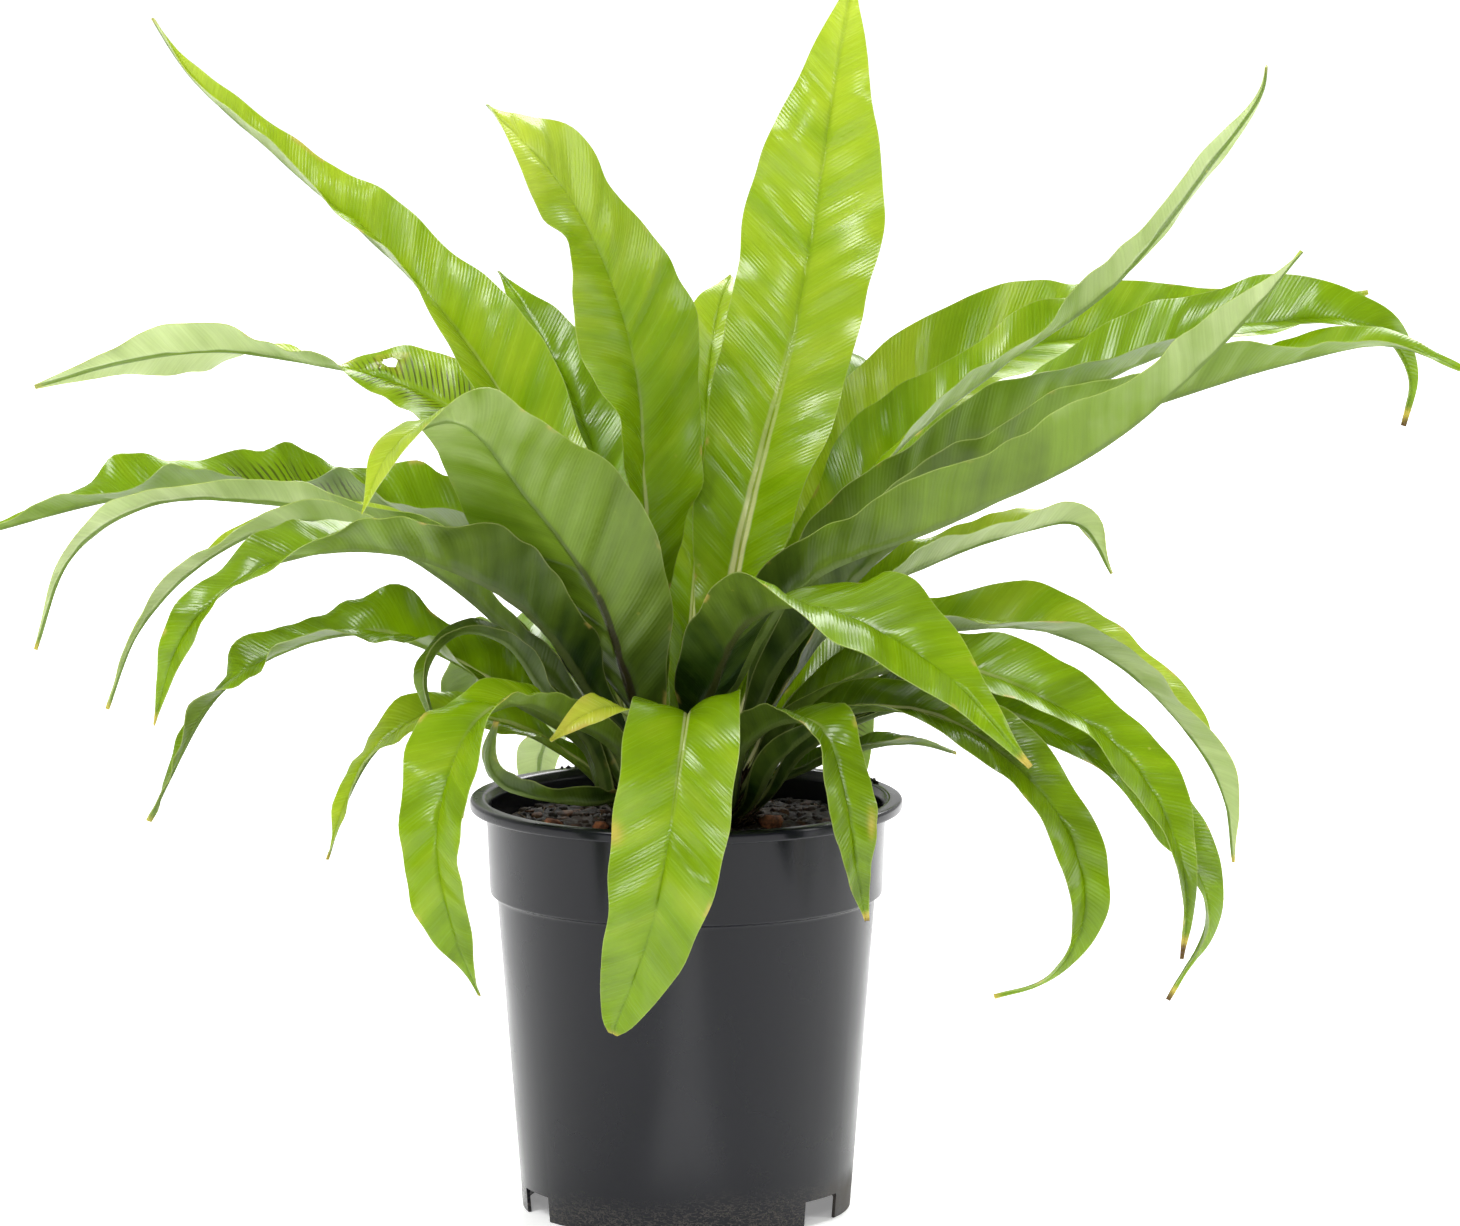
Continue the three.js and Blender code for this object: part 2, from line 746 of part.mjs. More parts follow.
function soilGeometry() {
  const rings = [];
  const ring = (radius, height) => {
    const points = [];
    for (let i = 0; i < SOIL_SIDES; i++) {
      const a = (2 * Math.PI * i) / SOIL_SIDES;
      points.push([radius * Math.cos(a), radius * Math.sin(a), height(radius, a)]);
    }
    rings.push(points);
  };
  const low = FLOOR_HEIGHT + GAP;
  ring(wallRadius(low) - SOIL_CLEAR, () => low);
  ring(wallRadius(LEDGE_HEIGHT) - SOIL_CLEAR, () => LEDGE_HEIGHT);
  for (let i = SOIL_RINGS; i > 0; i--) ring((SOIL_RADIUS * i) / SOIL_RINGS, soilHeight);
  const positions = rings.flat(2);
  const bottom = positions.length / 3;
  positions.push(0, 0, low);
  const top = bottom + 1;
  positions.push(0, 0, soilHeight(0, 0));
  const index = [];
  for (let j = 0; j + 1 < rings.length; j++) {
    for (let i = 0; i < SOIL_SIDES; i++) {
      const a = j * SOIL_SIDES + i;
      const b = j * SOIL_SIDES + ((i + 1) % SOIL_SIDES);
      index.push(a, b, b + SOIL_SIDES, a, b + SOIL_SIDES, a + SOIL_SIDES);
    }
  }
  for (let i = 0; i < SOIL_SIDES; i++) {
    const k = (i + 1) % SOIL_SIDES;
    const last = (rings.length - 1) * SOIL_SIDES;
    index.push(bottom, k, i, top, last + i, last + k);
  }
  const geometry = new THREE.BufferGeometry();
  geometry.setAttribute("position", new THREE.Float32BufferAttribute(positions, 3));
  geometry.setIndex(index);
  return geometry;
}

// A repeatable run of numbers from 0 to 1.
function seeded(seed) {
  let state = seed;
  return () => {
    state = (state * 1664525 + 1013904223) % 4294967296;
    return state / 4294967296;
  };
}

// A rough piece of bark, its corners pushed in and out at random.
function barkGeometry(at, size, next, grow = 0) {
  const ball = new THREE.IcosahedronGeometry(1, 0);
  ball.deleteAttribute("normal");
  ball.deleteAttribute("uv");
  const bark = mergeVertices(ball, 1e-3);
  const corners = bark.attributes.position;
  const corner = new THREE.Vector3();
  for (let i = 0; i < corners.count; i++) {
    corner.fromBufferAttribute(corners, i).multiplyScalar(0.8 + 0.35 * next());
    corners.setXYZ(i, corner.x, corner.y, corner.z);
  }
  return bark.scale(...size.map((v) => v + 1.4 * grow)).translate(...at);
}

const chipGeometry = ({ at, size }, i, grow) => barkGeometry(at, size, seeded(LUMP_SEED + i), grow);

// The soil with bark lumps in its surface, hollowed where the crown and the loose chips sit.
function soilSolid() {
  const next = seeded(LUMP_SEED);
  let soil = solidOf(soilGeometry());
  for (let i = 0; i < LUMPS; i++) {
    const r = 34 + 32 * next();
    const a = 2 * Math.PI * next();
    const wide = 3 + 3 * next();
    const at = [r * Math.cos(a), r * Math.sin(a), soilHeight(r, a) - 0.3];
    soil = soil.add(solidOf(barkGeometry(at, [wide, wide * 0.7, wide * 0.5], next)));
  }
  soil = soil.subtract(solidOf(crownBall(GAP)));
  CHIPS.forEach((chip, i) => {
    soil = soil.subtract(solidOf(chipGeometry(chip, i, GAP)));
  });
  return soil;
}

function crownBall(grow) {
  const ball = new THREE.SphereGeometry(1, 20, 12).rotateX(Math.PI / 2);
  ball.scale(CROWN_RADIUS + grow, CROWN_RADIUS + grow, CROWN_RISE + grow);
  return ball.translate(...CROWN_CENTRE.toArray());
}

function crownGeometry() {
  let crown = solidOf(crownBall(0));
  for (const frond of FRONDS) crown = crown.subtract(solidOf(socketGeometry(frond)));
  return geometryOf(crown);
}

const plant = new THREE.Group();

function addMesh(name, geometry, color, roughness) {
  const mesh = new THREE.Mesh(geometry, new THREE.MeshStandardMaterial({ color, roughness, metalness: 0 }));
  mesh.name = name;
  plant.add(mesh);
}

addMesh("pot", potGeometry(), COLOUR.pot, 0.35);
addMesh("soil", geometryOf(soilSolid()), COLOUR.soil, 0.95);
addMesh("crown", crownGeometry(), COLOUR.crown, 0.9);
CHIPS.forEach((chip, i) => addMesh("bark_chip_" + (i + 1), chipGeometry(chip, i, 0), COLOUR.bark, 0.9));
for (const frond of FRONDS) addMesh("frond_" + frond.name, frondGeometry(frond), COLOUR.frond, 0.4);

export default plant;
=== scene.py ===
"""A bird's nest fern in a black nursery pot: fine fronds, pot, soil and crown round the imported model.
The lists below are in millimetres and degrees. Azimuth 0 is +X and 90 is +Y; the plant is seen from -Y."""

import math
from collections import namedtuple

import bmesh
import bpy
import numpy as np
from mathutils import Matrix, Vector


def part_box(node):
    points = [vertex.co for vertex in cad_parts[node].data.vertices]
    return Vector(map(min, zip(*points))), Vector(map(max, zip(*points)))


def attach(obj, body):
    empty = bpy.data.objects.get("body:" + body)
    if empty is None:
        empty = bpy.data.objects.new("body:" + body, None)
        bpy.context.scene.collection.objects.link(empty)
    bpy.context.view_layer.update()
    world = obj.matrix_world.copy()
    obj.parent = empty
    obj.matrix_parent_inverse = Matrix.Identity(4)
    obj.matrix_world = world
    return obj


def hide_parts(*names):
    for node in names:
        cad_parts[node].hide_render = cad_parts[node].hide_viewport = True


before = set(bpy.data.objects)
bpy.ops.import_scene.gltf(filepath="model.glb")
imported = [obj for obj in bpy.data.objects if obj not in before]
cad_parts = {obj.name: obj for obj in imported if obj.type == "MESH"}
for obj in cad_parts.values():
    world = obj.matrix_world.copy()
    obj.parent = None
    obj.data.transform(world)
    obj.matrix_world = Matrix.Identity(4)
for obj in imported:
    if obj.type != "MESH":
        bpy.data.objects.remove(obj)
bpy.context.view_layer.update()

MM = 0.001
BODY = "root"

# Pot, as the frame holds it
POT_HEIGHT = 163
RIM_RADIUS = 85
RIM_INNER_RADIUS = 79.3
LIP_DROP = 4.5
BAND_RADIUS = 78.6
LEDGE_HEIGHT = 124.5
LEDGE_RADIUS = 77.1
LEDGE_STEP = 2.7
FOOT_RADIUS = 64.6
WALL = 1.5
FLOOR_HEIGHT = 10.5
PAD_RADIUS = 26
PAD_SLOPE = 4
POT_SIDES = 192
NOTCH_AZIMUTHS = [-35, 85, 205]
NOTCH_WIDTH = 21
NOTCH_HEIGHT = 10
NOTCH_DEEP = 30
DRAIN_HOLES = 6
DRAIN_RADIUS = 5
DRAIN_CIRCLE = 45
DRAIN_SIDES = 28

# Soil and crown
SOIL_EDGE = 151
SOIL_RADIUS = 76
SOIL_MOUND = 2.4
SOIL_SIDES = 200
SOIL_RINGS = 60
SOIL_GAP = 0.3
SOIL_CLEAR = 0.7
CROWN_CENTRE = np.array([0, 0, 156.0])
CROWN_RADIUS = 26
CROWN_RISE = 22
CROWN_SCALES = 620

# Loose things on the soil, and crumbs on the rim as azimuth and number
CRUMBS = 520
BARK_BITS = 46
ROOTLETS = 70
RIM_CRUMBS = [(127, 4), (121, 3), (28, 5), (23, 3)]

# Camera and light
CAMERA_AIM = (17.2, 0, 235.9)
CAMERA_DOWN = 8.77
CAMERA_AWAY = 4000
CAMERA_LENS = 251.8

# The room's light, from in front of the plant to behind it
ROOM_DEPTH = (-0.5, 0.6)
ROOM_LIGHT = (0.22, 0.85)

# The floor, its glow near the pot and far away, and a brighter strip that shows in the pot's wall
FLOOR_HALF = 30
FLOOR_GLOW = (0.25, 0.7)
STRIP_GLOW = 1.2

# Lamps, in metres and watts: name, place, aim, size and power
LAMPS = [
    ("key", (-1.3, -1.6, 2.5), (0, 0, 0.25), (1.0, 1.0), 70),
    ("front", (-0.3, -3.1, 1.4), (0, 0, 0.2), (0.6, 0.5), 24),
    ("back", (0.5, 1.9, 2.0), (0, 0, 0.3), (2.0, 1.4), 85),
    ("side", (2.2, -0.7, 1.3), (0, 0, 0.25), (0.9, 1.6), 22),
]

# Runs of dried water under the lip: place across the front, half width and length
LIP_LOW = POT_HEIGHT - LIP_DROP
DRIPS = [(-31, 1.1, 27), (44, 2.4, 27)]

# Fronds
BLADE = 0.55
MARGIN = 0.3
STALK_THICK = 3.6
STALK_WIDE = 5
RIB = 1.5
TIP_WIDE = 1.4
BASE_DEPTH = 4
STALK_RISE = 13
TIER_POLAR = [20, 43, 65, 86]
EDGE_LAG = 0.17
ROW_STEP = 2.6
COLUMNS = 12
COLUMN_CROWD = 1.35
CUP = 14
VEIN_SLOPE = 0.75
PLEAT = 0.45
PLEAT_LENGTH = 11
PUCKER = 1.7
PUCKER_LENGTHS = (17, 25, 38, 61)
VEIN_STEP = 1.7
SORI_STEP = 2.6
HOLE_ROWS = 2
HOLE_COLUMNS = 4
HOLE_ROUND = 0.35

# A frond: where it leaves the crown (az, tier), blade widths spread evenly from stalk to tip,
# roll about the midrib, fold of the two halves, wave (height and number of ruffles) and midrib.
# fresh goes from 0, deep green, to 100, yellow-green; it is partly the blade's own colour and partly
# painted light:
# the low end paints shade on blades in the shaded heart, the high end paints the glow of blades lit from
# behind.
# burn is the length and strength of a dry tip; keel is how dark the midrib is beneath, rib is how broad it
# is, and sori is the stretch from stalk to tip that bears brown spore lines.
# hole is a torn hole's place from stalk to tip and across, from -1 to 1.
# spots are dry patches, each with its place from stalk to tip, its place across and its size.
# tip is the width of the blade's end, rounded off where it is blunt.
FIELDS = "name az tier wide roll fold midrib fresh wave burn keel rib sori hole spots tip"
Frond = namedtuple("Frond", FIELDS, defaults=((2, 4), (0.02, 0.4), 0.2, 1, (0, 0), None, (), TIP_WIDE))
FRONDS = [
    # Upright fronds in the heart
    Frond("tall_middle", 78, 0, wide=[14, 30, 44, 50, 54, 57, 46, 26],
        roll=[0], fold=[45, 18, 8, 5], wave=(3, 4),
        midrib=[(11, 17, 203), (22, 27, 262), (45, 50, 353), (59, 62, 440), (66, 62, 482)],
        fresh=[35, 50, 58, 70, 88], burn=(0.01, 0.2), keel=0.1, rib=1.7),
    Frond("tall_left", 140, 0, wide=[14, 22, 36, 60, 66, 58, 46, 46],
        roll=[30, 10, 0, 20], fold=[45, 30, 10, 6], wave=(3, 4),
        midrib=[(-12, 10, 200), (-16, 12, 270), (-21, 3, 339), (-43, -18, 399), (-76, -38, 440)],
        fresh=[5, 35, 50, 55, 62, 100], burn=(0.02, 0.1), keel=0.1),
    Frond("long_left", 142, 1, wide=[14, 28, 42, 50, 46, 34, 22, 11],
        roll=[-20, -30, -12, 5], fold=[50, 45, 50], wave=(2, 5),
        midrib=[(-27, 32, 216), (-60, 66, 290), (-103, 91, 350), (-155, 100, 398), (-197, 98, 437),
                (-212, 90, 461)],
        fresh=[20, 50, 58, 62, 70, 95]),
    Frond("front_left", 236, 0, wide=[16, 34, 54, 66, 64, 46, 33, 20],
        roll=[0, 10, 30, 28, 10], fold=[40, 20, 10],
        midrib=[(-17, -24, 198), (-33, -40, 247), (-62, -62, 292), (-88, -88, 324),
                (-112, -106, 315), (-123, -110, 291)],
        fresh=[0, 12, 40, 50, 70, 90], burn=(0.01, 0.2), keel=1),
    Frond("front_right", 289, 0, wide=[18, 33, 40, 46, 54, 38, 16],
        roll=[0, 0, 10], fold=[40, 25, 5], wave=(3, 3),
        midrib=[(9, -40, 209), (20, -62, 238), (36, -84, 252), (62, -110, 252), (101, -130, 231),
                (131, -138, 198)],
        fresh=[0, 0, 20, 45, 45, 40], burn=(0.04, 0.9), keel=0.8),
    Frond("long_right", 340, 0, wide=[12, 26, 37, 44, 44, 38, 24],
        roll=[0, -10, -10], fold=[50, 52, 40], wave=(2, 5),
        midrib=[(20, -26, 214), (46, -52, 256), (102, -76, 284), (160, -90, 315), (205, -94, 355),
                (235, -88, 389)],
        fresh=[0, 15, 33, 43, 62, 92], burn=(0.01, 0.2), keel=0.1),
    Frond("high_right", 34, 1, wide=[9, 22, 34, 36, 30, 21, 15, 9],
        roll=[0, 0, 10, 0, -90, -95], fold=[50, 45, 30], wave=(2, 5),
        midrib=[(36, 26, 224), (75, 50, 286), (122, 70, 323), (170, 83, 356), (208, 91, 402),
                (229, 92, 432), (230, 88, 442)],
        fresh=[30, 62, 55, 55, 80, 95]),
    # Arching fronds behind and beside them
    Frond("arch_right", 54, 2, wide=[14, 28, 42, 50, 52, 50, 38],
        roll=[10, 25, 30, 10], fold=[45, 30, 20], wave=(2, 5),
        midrib=[(31, 48, 218), (62, 82, 278), (106, 112, 317), (166, 140, 328), (224, 156, 329),
                (250, 158, 335), (276, 158, 343)],
        fresh=[40, 85, 80, 60, 50, 60]),
    Frond("back_right", 76, 2, wide=[14, 22, 30, 34, 34, 28, 18],
        roll=[0], fold=[45, 30, 15],
        midrib=[(24, 64, 220), (44, 108, 272), (62, 142, 302), (76, 166, 312), (86, 186, 305),
                (96, 206, 288)],
        fresh=[10, 35, 45], burn=(0.02, 0.3)),
    Frond("back_middle", 96, 1, wide=[14, 26, 36, 42, 42, 36, 24],
        roll=[0], fold=[45, 30, 15],
        midrib=[(2, 48, 225), (6, 76, 278), (9, 94, 320), (13, 106, 345), (18, 124, 354)],
        fresh=[30, 60, 70], burn=(0.02, 0.3)),
    Frond("back_left", 106, 2, wide=[12, 22, 32, 40, 40, 34, 22],
        roll=[0], fold=[45, 30, 15],
        midrib=[(-20, 66, 236), (-40, 102, 294), (-57, 122, 328), (-76, 140, 354)],
        fresh=[20, 40, 45], burn=(0.02, 0.3)),
    Frond("torn_left", 130, 2, wide=[12, 20, 28, 34, 38, 38, 30, 9, 26, 24, 12],
        roll=[-10, -30, -45, -20, 50, 60], fold=[45, 35, 20, 10], wave=(3, 6),
        midrib=[(-38, 46, 228), (-70, 78, 287), (-111, 94, 313), (-151, 96, 323), (-190, 92, 328),
                (-229, 87, 323), (-260, 84, 314)],
        fresh=[40, 50, 60, 60, 95, 95], keel=0.4, sori=(0.42, 0.66),
        hole=(0.6, -0.5), spots=[(0.65, -0.8, 0.02)]),
    Frond("wavy_left", 172, 1, wide=[14, 26, 34, 38, 38, 36, 24],
        roll=[-10, -15, -10, 0], fold=[50, 45, 35], wave=(4, 5.5),
        midrib=[(-35, 12, 202), (-57, 23, 234), (-84, 26, 262), (-118, 22, 274), (-152, 14, 280),
                (-216, -4, 283), (-277, -14, 269)],
        fresh=[10, 25, 42, 50, 55], burn=(0.02, 0.5), keel=0.3, sori=(0.5, 0.72)),
    Frond("grey_left_a", 184, 2, wide=[10, 16, 20, 20, 18, 14, 8],
        roll=[0, 0, 30, 50], fold=[40, 40, 30], wave=(1.5, 5),
        midrib=[(-36, -1, 203), (-60, -2, 236), (-88, -6, 260), (-120, -10, 273), (-166, -18, 283),
                (-208, -25, 283), (-239, -29, 263), (-253, -29, 226)],
        fresh=[10, 25, 70, 90, 90], burn=(0.02, 0.5)),
    Frond("grey_left_b", 203, 2, wide=[12, 18, 22, 22, 18, 13, 8],
        roll=[0, 0, 20, 40], fold=[40, 40, 30], wave=(1.5, 5),
        midrib=[(-38, -9, 192), (-60, -14, 221), (-88, -22, 249), (-119, -29, 269), (-150, -36, 278),
                (-184, -42, 265), (-212, -48, 237), (-224, -50, 206)],
        fresh=[10, 25, 60, 80, 70]),
    Frond("broad_left", 217, 1, wide=[12, 28, 44, 50, 38, 27, 15],
        roll=[20, 20, 0, -25], fold=[45, 35, 20], wave=(3, 5),
        midrib=[(-35, -21, 204), (-57, -41, 239), (-84, -59, 260), (-112, -70, 271),
                (-144, -82, 272), (-172, -88, 262), (-194, -90, 238), (-204, -88, 206)],
        fresh=[0, 5, 20, 38, 42, 40], burn=(0.03, 0.5), keel=0.5),
    Frond("front_middle", 268, 1, wide=[16, 34, 44, 47, 44, 38, 28],
        roll=[0], fold=[45, 24, 10, 6], wave=(2, 3),
        midrib=[(2, -44, 190), (1, -66, 207), (0, -86, 205), (-5, -101, 172), (-12, -104, 133),
                (-28, -92, 86)],
        fresh=[0, 35, 50, 52, 42], burn=(0.015, 0.35), keel=0.5,
        spots=[(0.62, -1.0, 0.03)], tip=10),
    Frond("right_under", 342, 1, wide=[16, 30, 40, 42, 42, 36, 22],
        roll=[-10, -20, -10, 20], fold=[50, 45, 35, 20], wave=(2, 6),
        midrib=[(37, -16, 219), (68, -28, 256), (102, -34, 284), (151, -40, 313), (199, -44, 331),
                (234, -42, 341), (271, -38, 347), (306, -30, 334)],
        fresh=[5, 15, 30, 45, 50, 50]),
    Frond("right_hook", 5, 1, wide=[16, 30, 38, 42, 42, 38, 22],
        roll=[-10, -20, -10, 30, 45], fold=[50, 50, 40, 30], wave=(2, 5),
        midrib=[(33, 4, 221), (62, 6, 263), (103, 4, 297), (149, 0, 322), (202, -8, 346),
                (242, -14, 354), (270, -16, 349), (282, -16, 331), (279, -16, 312)],
        fresh=[5, 25, 40, 45, 45, 40], burn=(0.03, 0.9)),
    Frond("pale_right", 25, 2, wide=[12, 22, 26, 28, 28, 26, 18],
        roll=[0, 0, -20], fold=[45, 40, 30],
        midrib=[(40, 14, 204), (66, 22, 236), (100, 26, 254), (131, 30, 264), (155, 32, 267),
                (168, 30, 247)],
        fresh=[0, 10, 60, 90, 90], burn=(0.02, 0.3)),
    # Low fronds that hang over the rim
    Frond("low_right_a", 1, 2, wide=[16, 26, 32, 34, 34, 30, 18],
        roll=[0, 8, 20, 0, -30], fold=[45, 40, 30],
        midrib=[(46, 0, 202), (76, 0, 224), (110, -2, 231), (142, -4, 230), (167, -6, 219),
                (194, -8, 194), (211, -10, 166), (215, -6, 138)],
        fresh=[10, 40, 60, 80, 85], burn=(0.02, 0.5)),
    Frond("low_right_b", 340, 2, wide=[18, 28, 34, 34, 30, 24, 14],
        roll=[0, 25, 30, 20], fold=[45, 30, 20],
        midrib=[(44, -22, 199), (80, -33, 220), (110, -42, 220), (139, -50, 210), (165, -57, 195),
                (184, -63, 170), (194, -68, 137), (192, -69, 111)],
        fresh=[0, 35, 45, 42, 35], burn=(0.05, 1), keel=0.3),
    Frond("low_right_c", 350, 3, wide=[16, 24, 30, 34, 32, 27, 16],
        roll=[0, 25, 30, 10], fold=[45, 30, 20],
        midrib=[(46, -12, 184), (84, -18, 202), (122, -24, 201), (156, -30, 186), (187, -34, 158),
                (204, -36, 122), (188, -38, 89)],
        fresh=[0, 20, 40, 42, 50], burn=(0.035, 1), keel=0.3),
    Frond("low_right_d", 322, 3, wide=[16, 22, 27, 28, 25, 20, 10],
        roll=[0, 25, 25, 10], fold=[45, 30, 15],
        midrib=[(37, -34, 186), (66, -51, 206), (98, -62, 205), (127, -73, 188), (148, -79, 162),
                (154, -82, 130), (140, -84, 106), (119, -83, 99)],
        fresh=[0, 15, 32, 40, 50], burn=(0.02, 0.6), keel=0.3),
    Frond("low_front_right", 301, 3, wide=[14, 19, 22, 24, 23, 20, 13],
        roll=[0], fold=[45, 30, 12],
        midrib=[(22, -34, 187), (37, -52, 202), (53, -72, 202), (62, -84, 177), (66, -85, 150),
                (70, -80, 128)],
        fresh=[0, 15, 30, 35, 35], burn=(0.04, 0.7), keel=0.3, spots=[(0.77, 0.8, 0.05)]),
    Frond("low_front_left", 235, 3, wide=[12, 19, 27, 34, 33, 30, 18],
        roll=[0, 0, -10], fold=[45, 30, 12], wave=(3, 4),
        midrib=[(-28, -36, 189), (-47, -54, 203), (-66, -74, 213), (-84, -99, 204), (-95, -114, 170),
                (-90, -115, 134), (-79, -108, 104)],
        fresh=[10, 45, 55, 52, 42], burn=(0.015, 0.4), keel=0.3, spots=[(0.5, 1.0, 0.03)]),
    Frond("low_left_a", 186, 3, wide=[16, 28, 36, 34, 24, 17, 10],
        roll=[0, -25, -15, 20], fold=[45, 30, 25], wave=(4, 5),
        midrib=[(-38, -2, 182), (-65, -5, 201), (-94, -9, 221), (-123, -14, 231), (-155, -18, 225),
                (-183, -20, 207), (-202, -20, 174), (-210, -16, 156)],
        fresh=[10, 35, 40, 38, 40], burn=(0.02, 0.5), keel=0.3),
    Frond("low_left_b", 202, 3, wide=[8, 10, 12, 13, 12, 11, 8],
        roll=[0], fold=[45, 40, 30], wave=(1, 4),
        midrib=[(-38, -18, 188), (-55, -26, 209), (-70, -33, 230), (-88, -40, 235), (-101, -48, 221),
                (-97, -38, 194)],
        fresh=[0, 20, 25], burn=(0.04, 0.6), keel=0.3),
    Frond("low_left_c", 167, 3, wide=[10, 14, 18, 21, 20, 16, 9],
        roll=[0, -30, -35], fold=[40, 20, 15],
        midrib=[(-50, 8, 181), (-73, 5, 192), (-98, 1, 197), (-120, -4, 185), (-134, -6, 162),
                (-141, -6, 139)],
        fresh=[20, 60, 70, 75], burn=(0.03, 0.8), keel=0.3),
    Frond("short_front", 253, 3, wide=[8, 12, 18, 22, 20, 16, 9],
        roll=[-20], fold=[20, 10], wave=(1, 3),
        midrib=[(-17, -42, 196), (-26, -58, 208), (-37, -68, 208), (-52, -76, 198)],
        fresh=[50, 90, 100], burn=(0.9, 0.36), keel=0.3),
    Frond("short_left", 218.5, 3, wide=[7, 10, 14, 14, 12, 11, 8],
        roll=[20], fold=[40, 30], wave=(1, 3),
        midrib=[(-38, -42, 168), (-60, -53, 173), (-72, -58, 178), (-77, -62, 188), (-73, -66, 204)],
        fresh=[0, 20, 35], burn=(0.04, 0.5), keel=0.3),
    Frond("low_right_e", 18, 3, wide=[7, 10, 13, 14, 14, 13, 9],
        roll=[0], fold=[40, 20], wave=(1, 3),
        midrib=[(41, 18, 169), (69, 28, 178), (92, 34, 179), (107, 38, 174)],
        fresh=[10, 35], burn=(0.04, 0.5), keel=0.3),
    Frond("low_back_left", 108, 3, wide=[8, 12, 17, 20, 20, 18, 12],
        roll=[0], fold=[40, 20, 10],
        midrib=[(-15, 40, 170), (-35, 76, 175), (-51, 108, 172), (-60, 134, 157), (-60, 150, 115)],
        fresh=[50, 80, 90], burn=(0.03, 0.4)),
    # Fronds at the back, hidden from the front
    Frond("behind_a", 38, 3, wide=[14, 22, 28, 30, 30, 26, 16],
        roll=[0], fold=[45, 25, 12],
        midrib=[(46, 36, 192), (80, 62, 210), (106, 84, 202), (120, 98, 176)],
        fresh=[10, 35, 45], burn=(0.03, 0.5), keel=0.4),
    Frond("behind_b", 60, 3, wide=[14, 22, 28, 30, 30, 26, 16],
        roll=[0], fold=[45, 25, 12],
        midrib=[(30, 50, 196), (47, 92, 220), (58, 140, 212), (64, 182, 184), (66, 206, 142),
                (64, 214, 104)],
        fresh=[10, 40, 45], burn=(0.03, 0.4), keel=0.4, sori=(0.3, 0.9)),
    Frond("behind_c", 84, 3, wide=[14, 22, 28, 30, 30, 26, 16],
        roll=[0], fold=[45, 25, 12],
        midrib=[(6, 54, 196), (10, 100, 220), (14, 150, 214), (18, 194, 188), (20, 222, 146),
                (18, 234, 102)],
        fresh=[10, 35, 50], burn=(0.02, 0.6), keel=0.4),
    Frond("behind_d", 132, 3, wide=[14, 22, 28, 30, 30, 26, 16],
        roll=[0], fold=[45, 25, 12],
        midrib=[(-36, 42, 192), (-62, 76, 214), (-80, 108, 206), (-90, 134, 168), (-92, 140, 130)],
        fresh=[10, 40, 40], burn=(0.03, 0.5), keel=0.4),
]


def smoothstep(x, low, high):
    """Rises smoothly from 0 at low to 1 at high."""
    t = np.clip((x - low) / (high - low), 0, 1)
    return t * t * (3 - 2 * t)


def along(values, s):
    """A smooth value at s from a few values spread evenly from 0 to 1."""
    values = np.array(values, float)
    if len(values) == 1:
        return np.full_like(s, values[0])
    at = s * (len(values) - 1)
    i = np.minimum(at.astype(int), len(values) - 2)
    return values[i] + (values[i + 1] - values[i]) * smoothstep(at - i, 0, 1)


def curve_through(values, s):
    """A curve through values spread evenly from 0 to 1."""
    values = np.array(values, float)
    at = s * (len(values) - 1)
    i = np.minimum(at.astype(int), len(values) - 2)
    p0, p1, p2, p3 = (values[np.clip(i + k, 0, len(values) - 1)] for k in (-1, 0, 1, 2))
    t = at - i
    bend = 2 * p0 - 5 * p1 + 4 * p2 - p3 + t * (3 * (p1 - p2) + p3 - p0)
    return p1 + t / 2 * (p2 - p0 + t * bend)


def full_turn(count):
    """Angles spread evenly round a circle."""
    return np.linspace(0, 2 * math.pi, count, endpoint=False)


def unit(v):
    """Vectors brought to length 1."""
    return v / np.linalg.norm(v, axis=-1, keepdims=True)


def pointing(polar, az):
    """A unit vector at an angle from straight up and an azimuth, in radians."""
    return np.array([math.sin(polar) * math.cos(az), math.sin(polar) * math.sin(az), math.cos(polar)])


def root_of(frond):
    """Where a frond leaves the crown, and the way that it points there."""
    way = pointing(math.radians(TIER_POLAR[frond.tier]), math.radians(frond.az))
    reach = np.array([CROWN_RADIUS, CROWN_RADIUS, CROWN_RISE]) - BASE_DEPTH
    return way * reach + CROWN_CENTRE, way


def spline(points, per_span=60):
    """A centripetal Catmull-Rom curve through the points."""
    points = np.array(points, float)
    points = np.vstack([2 * points[0] - points[1], points, 2 * points[-1] - points[-2]])
    t = np.linspace(0, 1, per_span, endpoint=False)[:, None]
    rows = []
    for p0, p1, p2, p3 in zip(points, points[1:], points[2:], points[3:]):
        d0, d1, d2 = (math.sqrt(np.linalg.norm(b - a)) for a, b in ((p0, p1), (p1, p2), (p2, p3)))
        m1 = ((p1 - p0) / d0 - (p2 - p0) / (d0 + d1) + (p2 - p1) / d1) * d1
        m2 = ((p2 - p1) / d1 - (p3 - p1) / (d1 + d2) + (p3 - p2) / d2) * d1
        rows.append(p1 + t * m1 + t**2 * (3 * (p2 - p1) - 2 * m1 - m2) + t**3 * (2 * (p1 - p2) + m1 + m2))
    return np.vstack([*rows, points[-2][None]])


def midrib_of(frond):
    """Points of the midrib, their directions and their distance along it, at even steps."""
    start, way = root_of(frond)
    neck = start + unit(way + np.array([0, 0, 0.8])) * STALK_RISE
    line = spline([start, neck, *frond.midrib])
    far = np.concatenate([[0], np.cumsum(np.linalg.norm(np.diff(line, axis=0), axis=1))])
    rows = max(40, round(far[-1] / ROW_STEP))
    at = np.linspace(0, far[-1], rows + 1)
    middle = np.stack([np.interp(at, far, line[:, k]) for k in range(3)], 1)
    for _ in range(3):
        middle[1:-1] = (middle[:-2] + 2 * middle[1:-1] + middle[2:]) / 4
    return middle, unit(np.gradient(middle, axis=0)), at


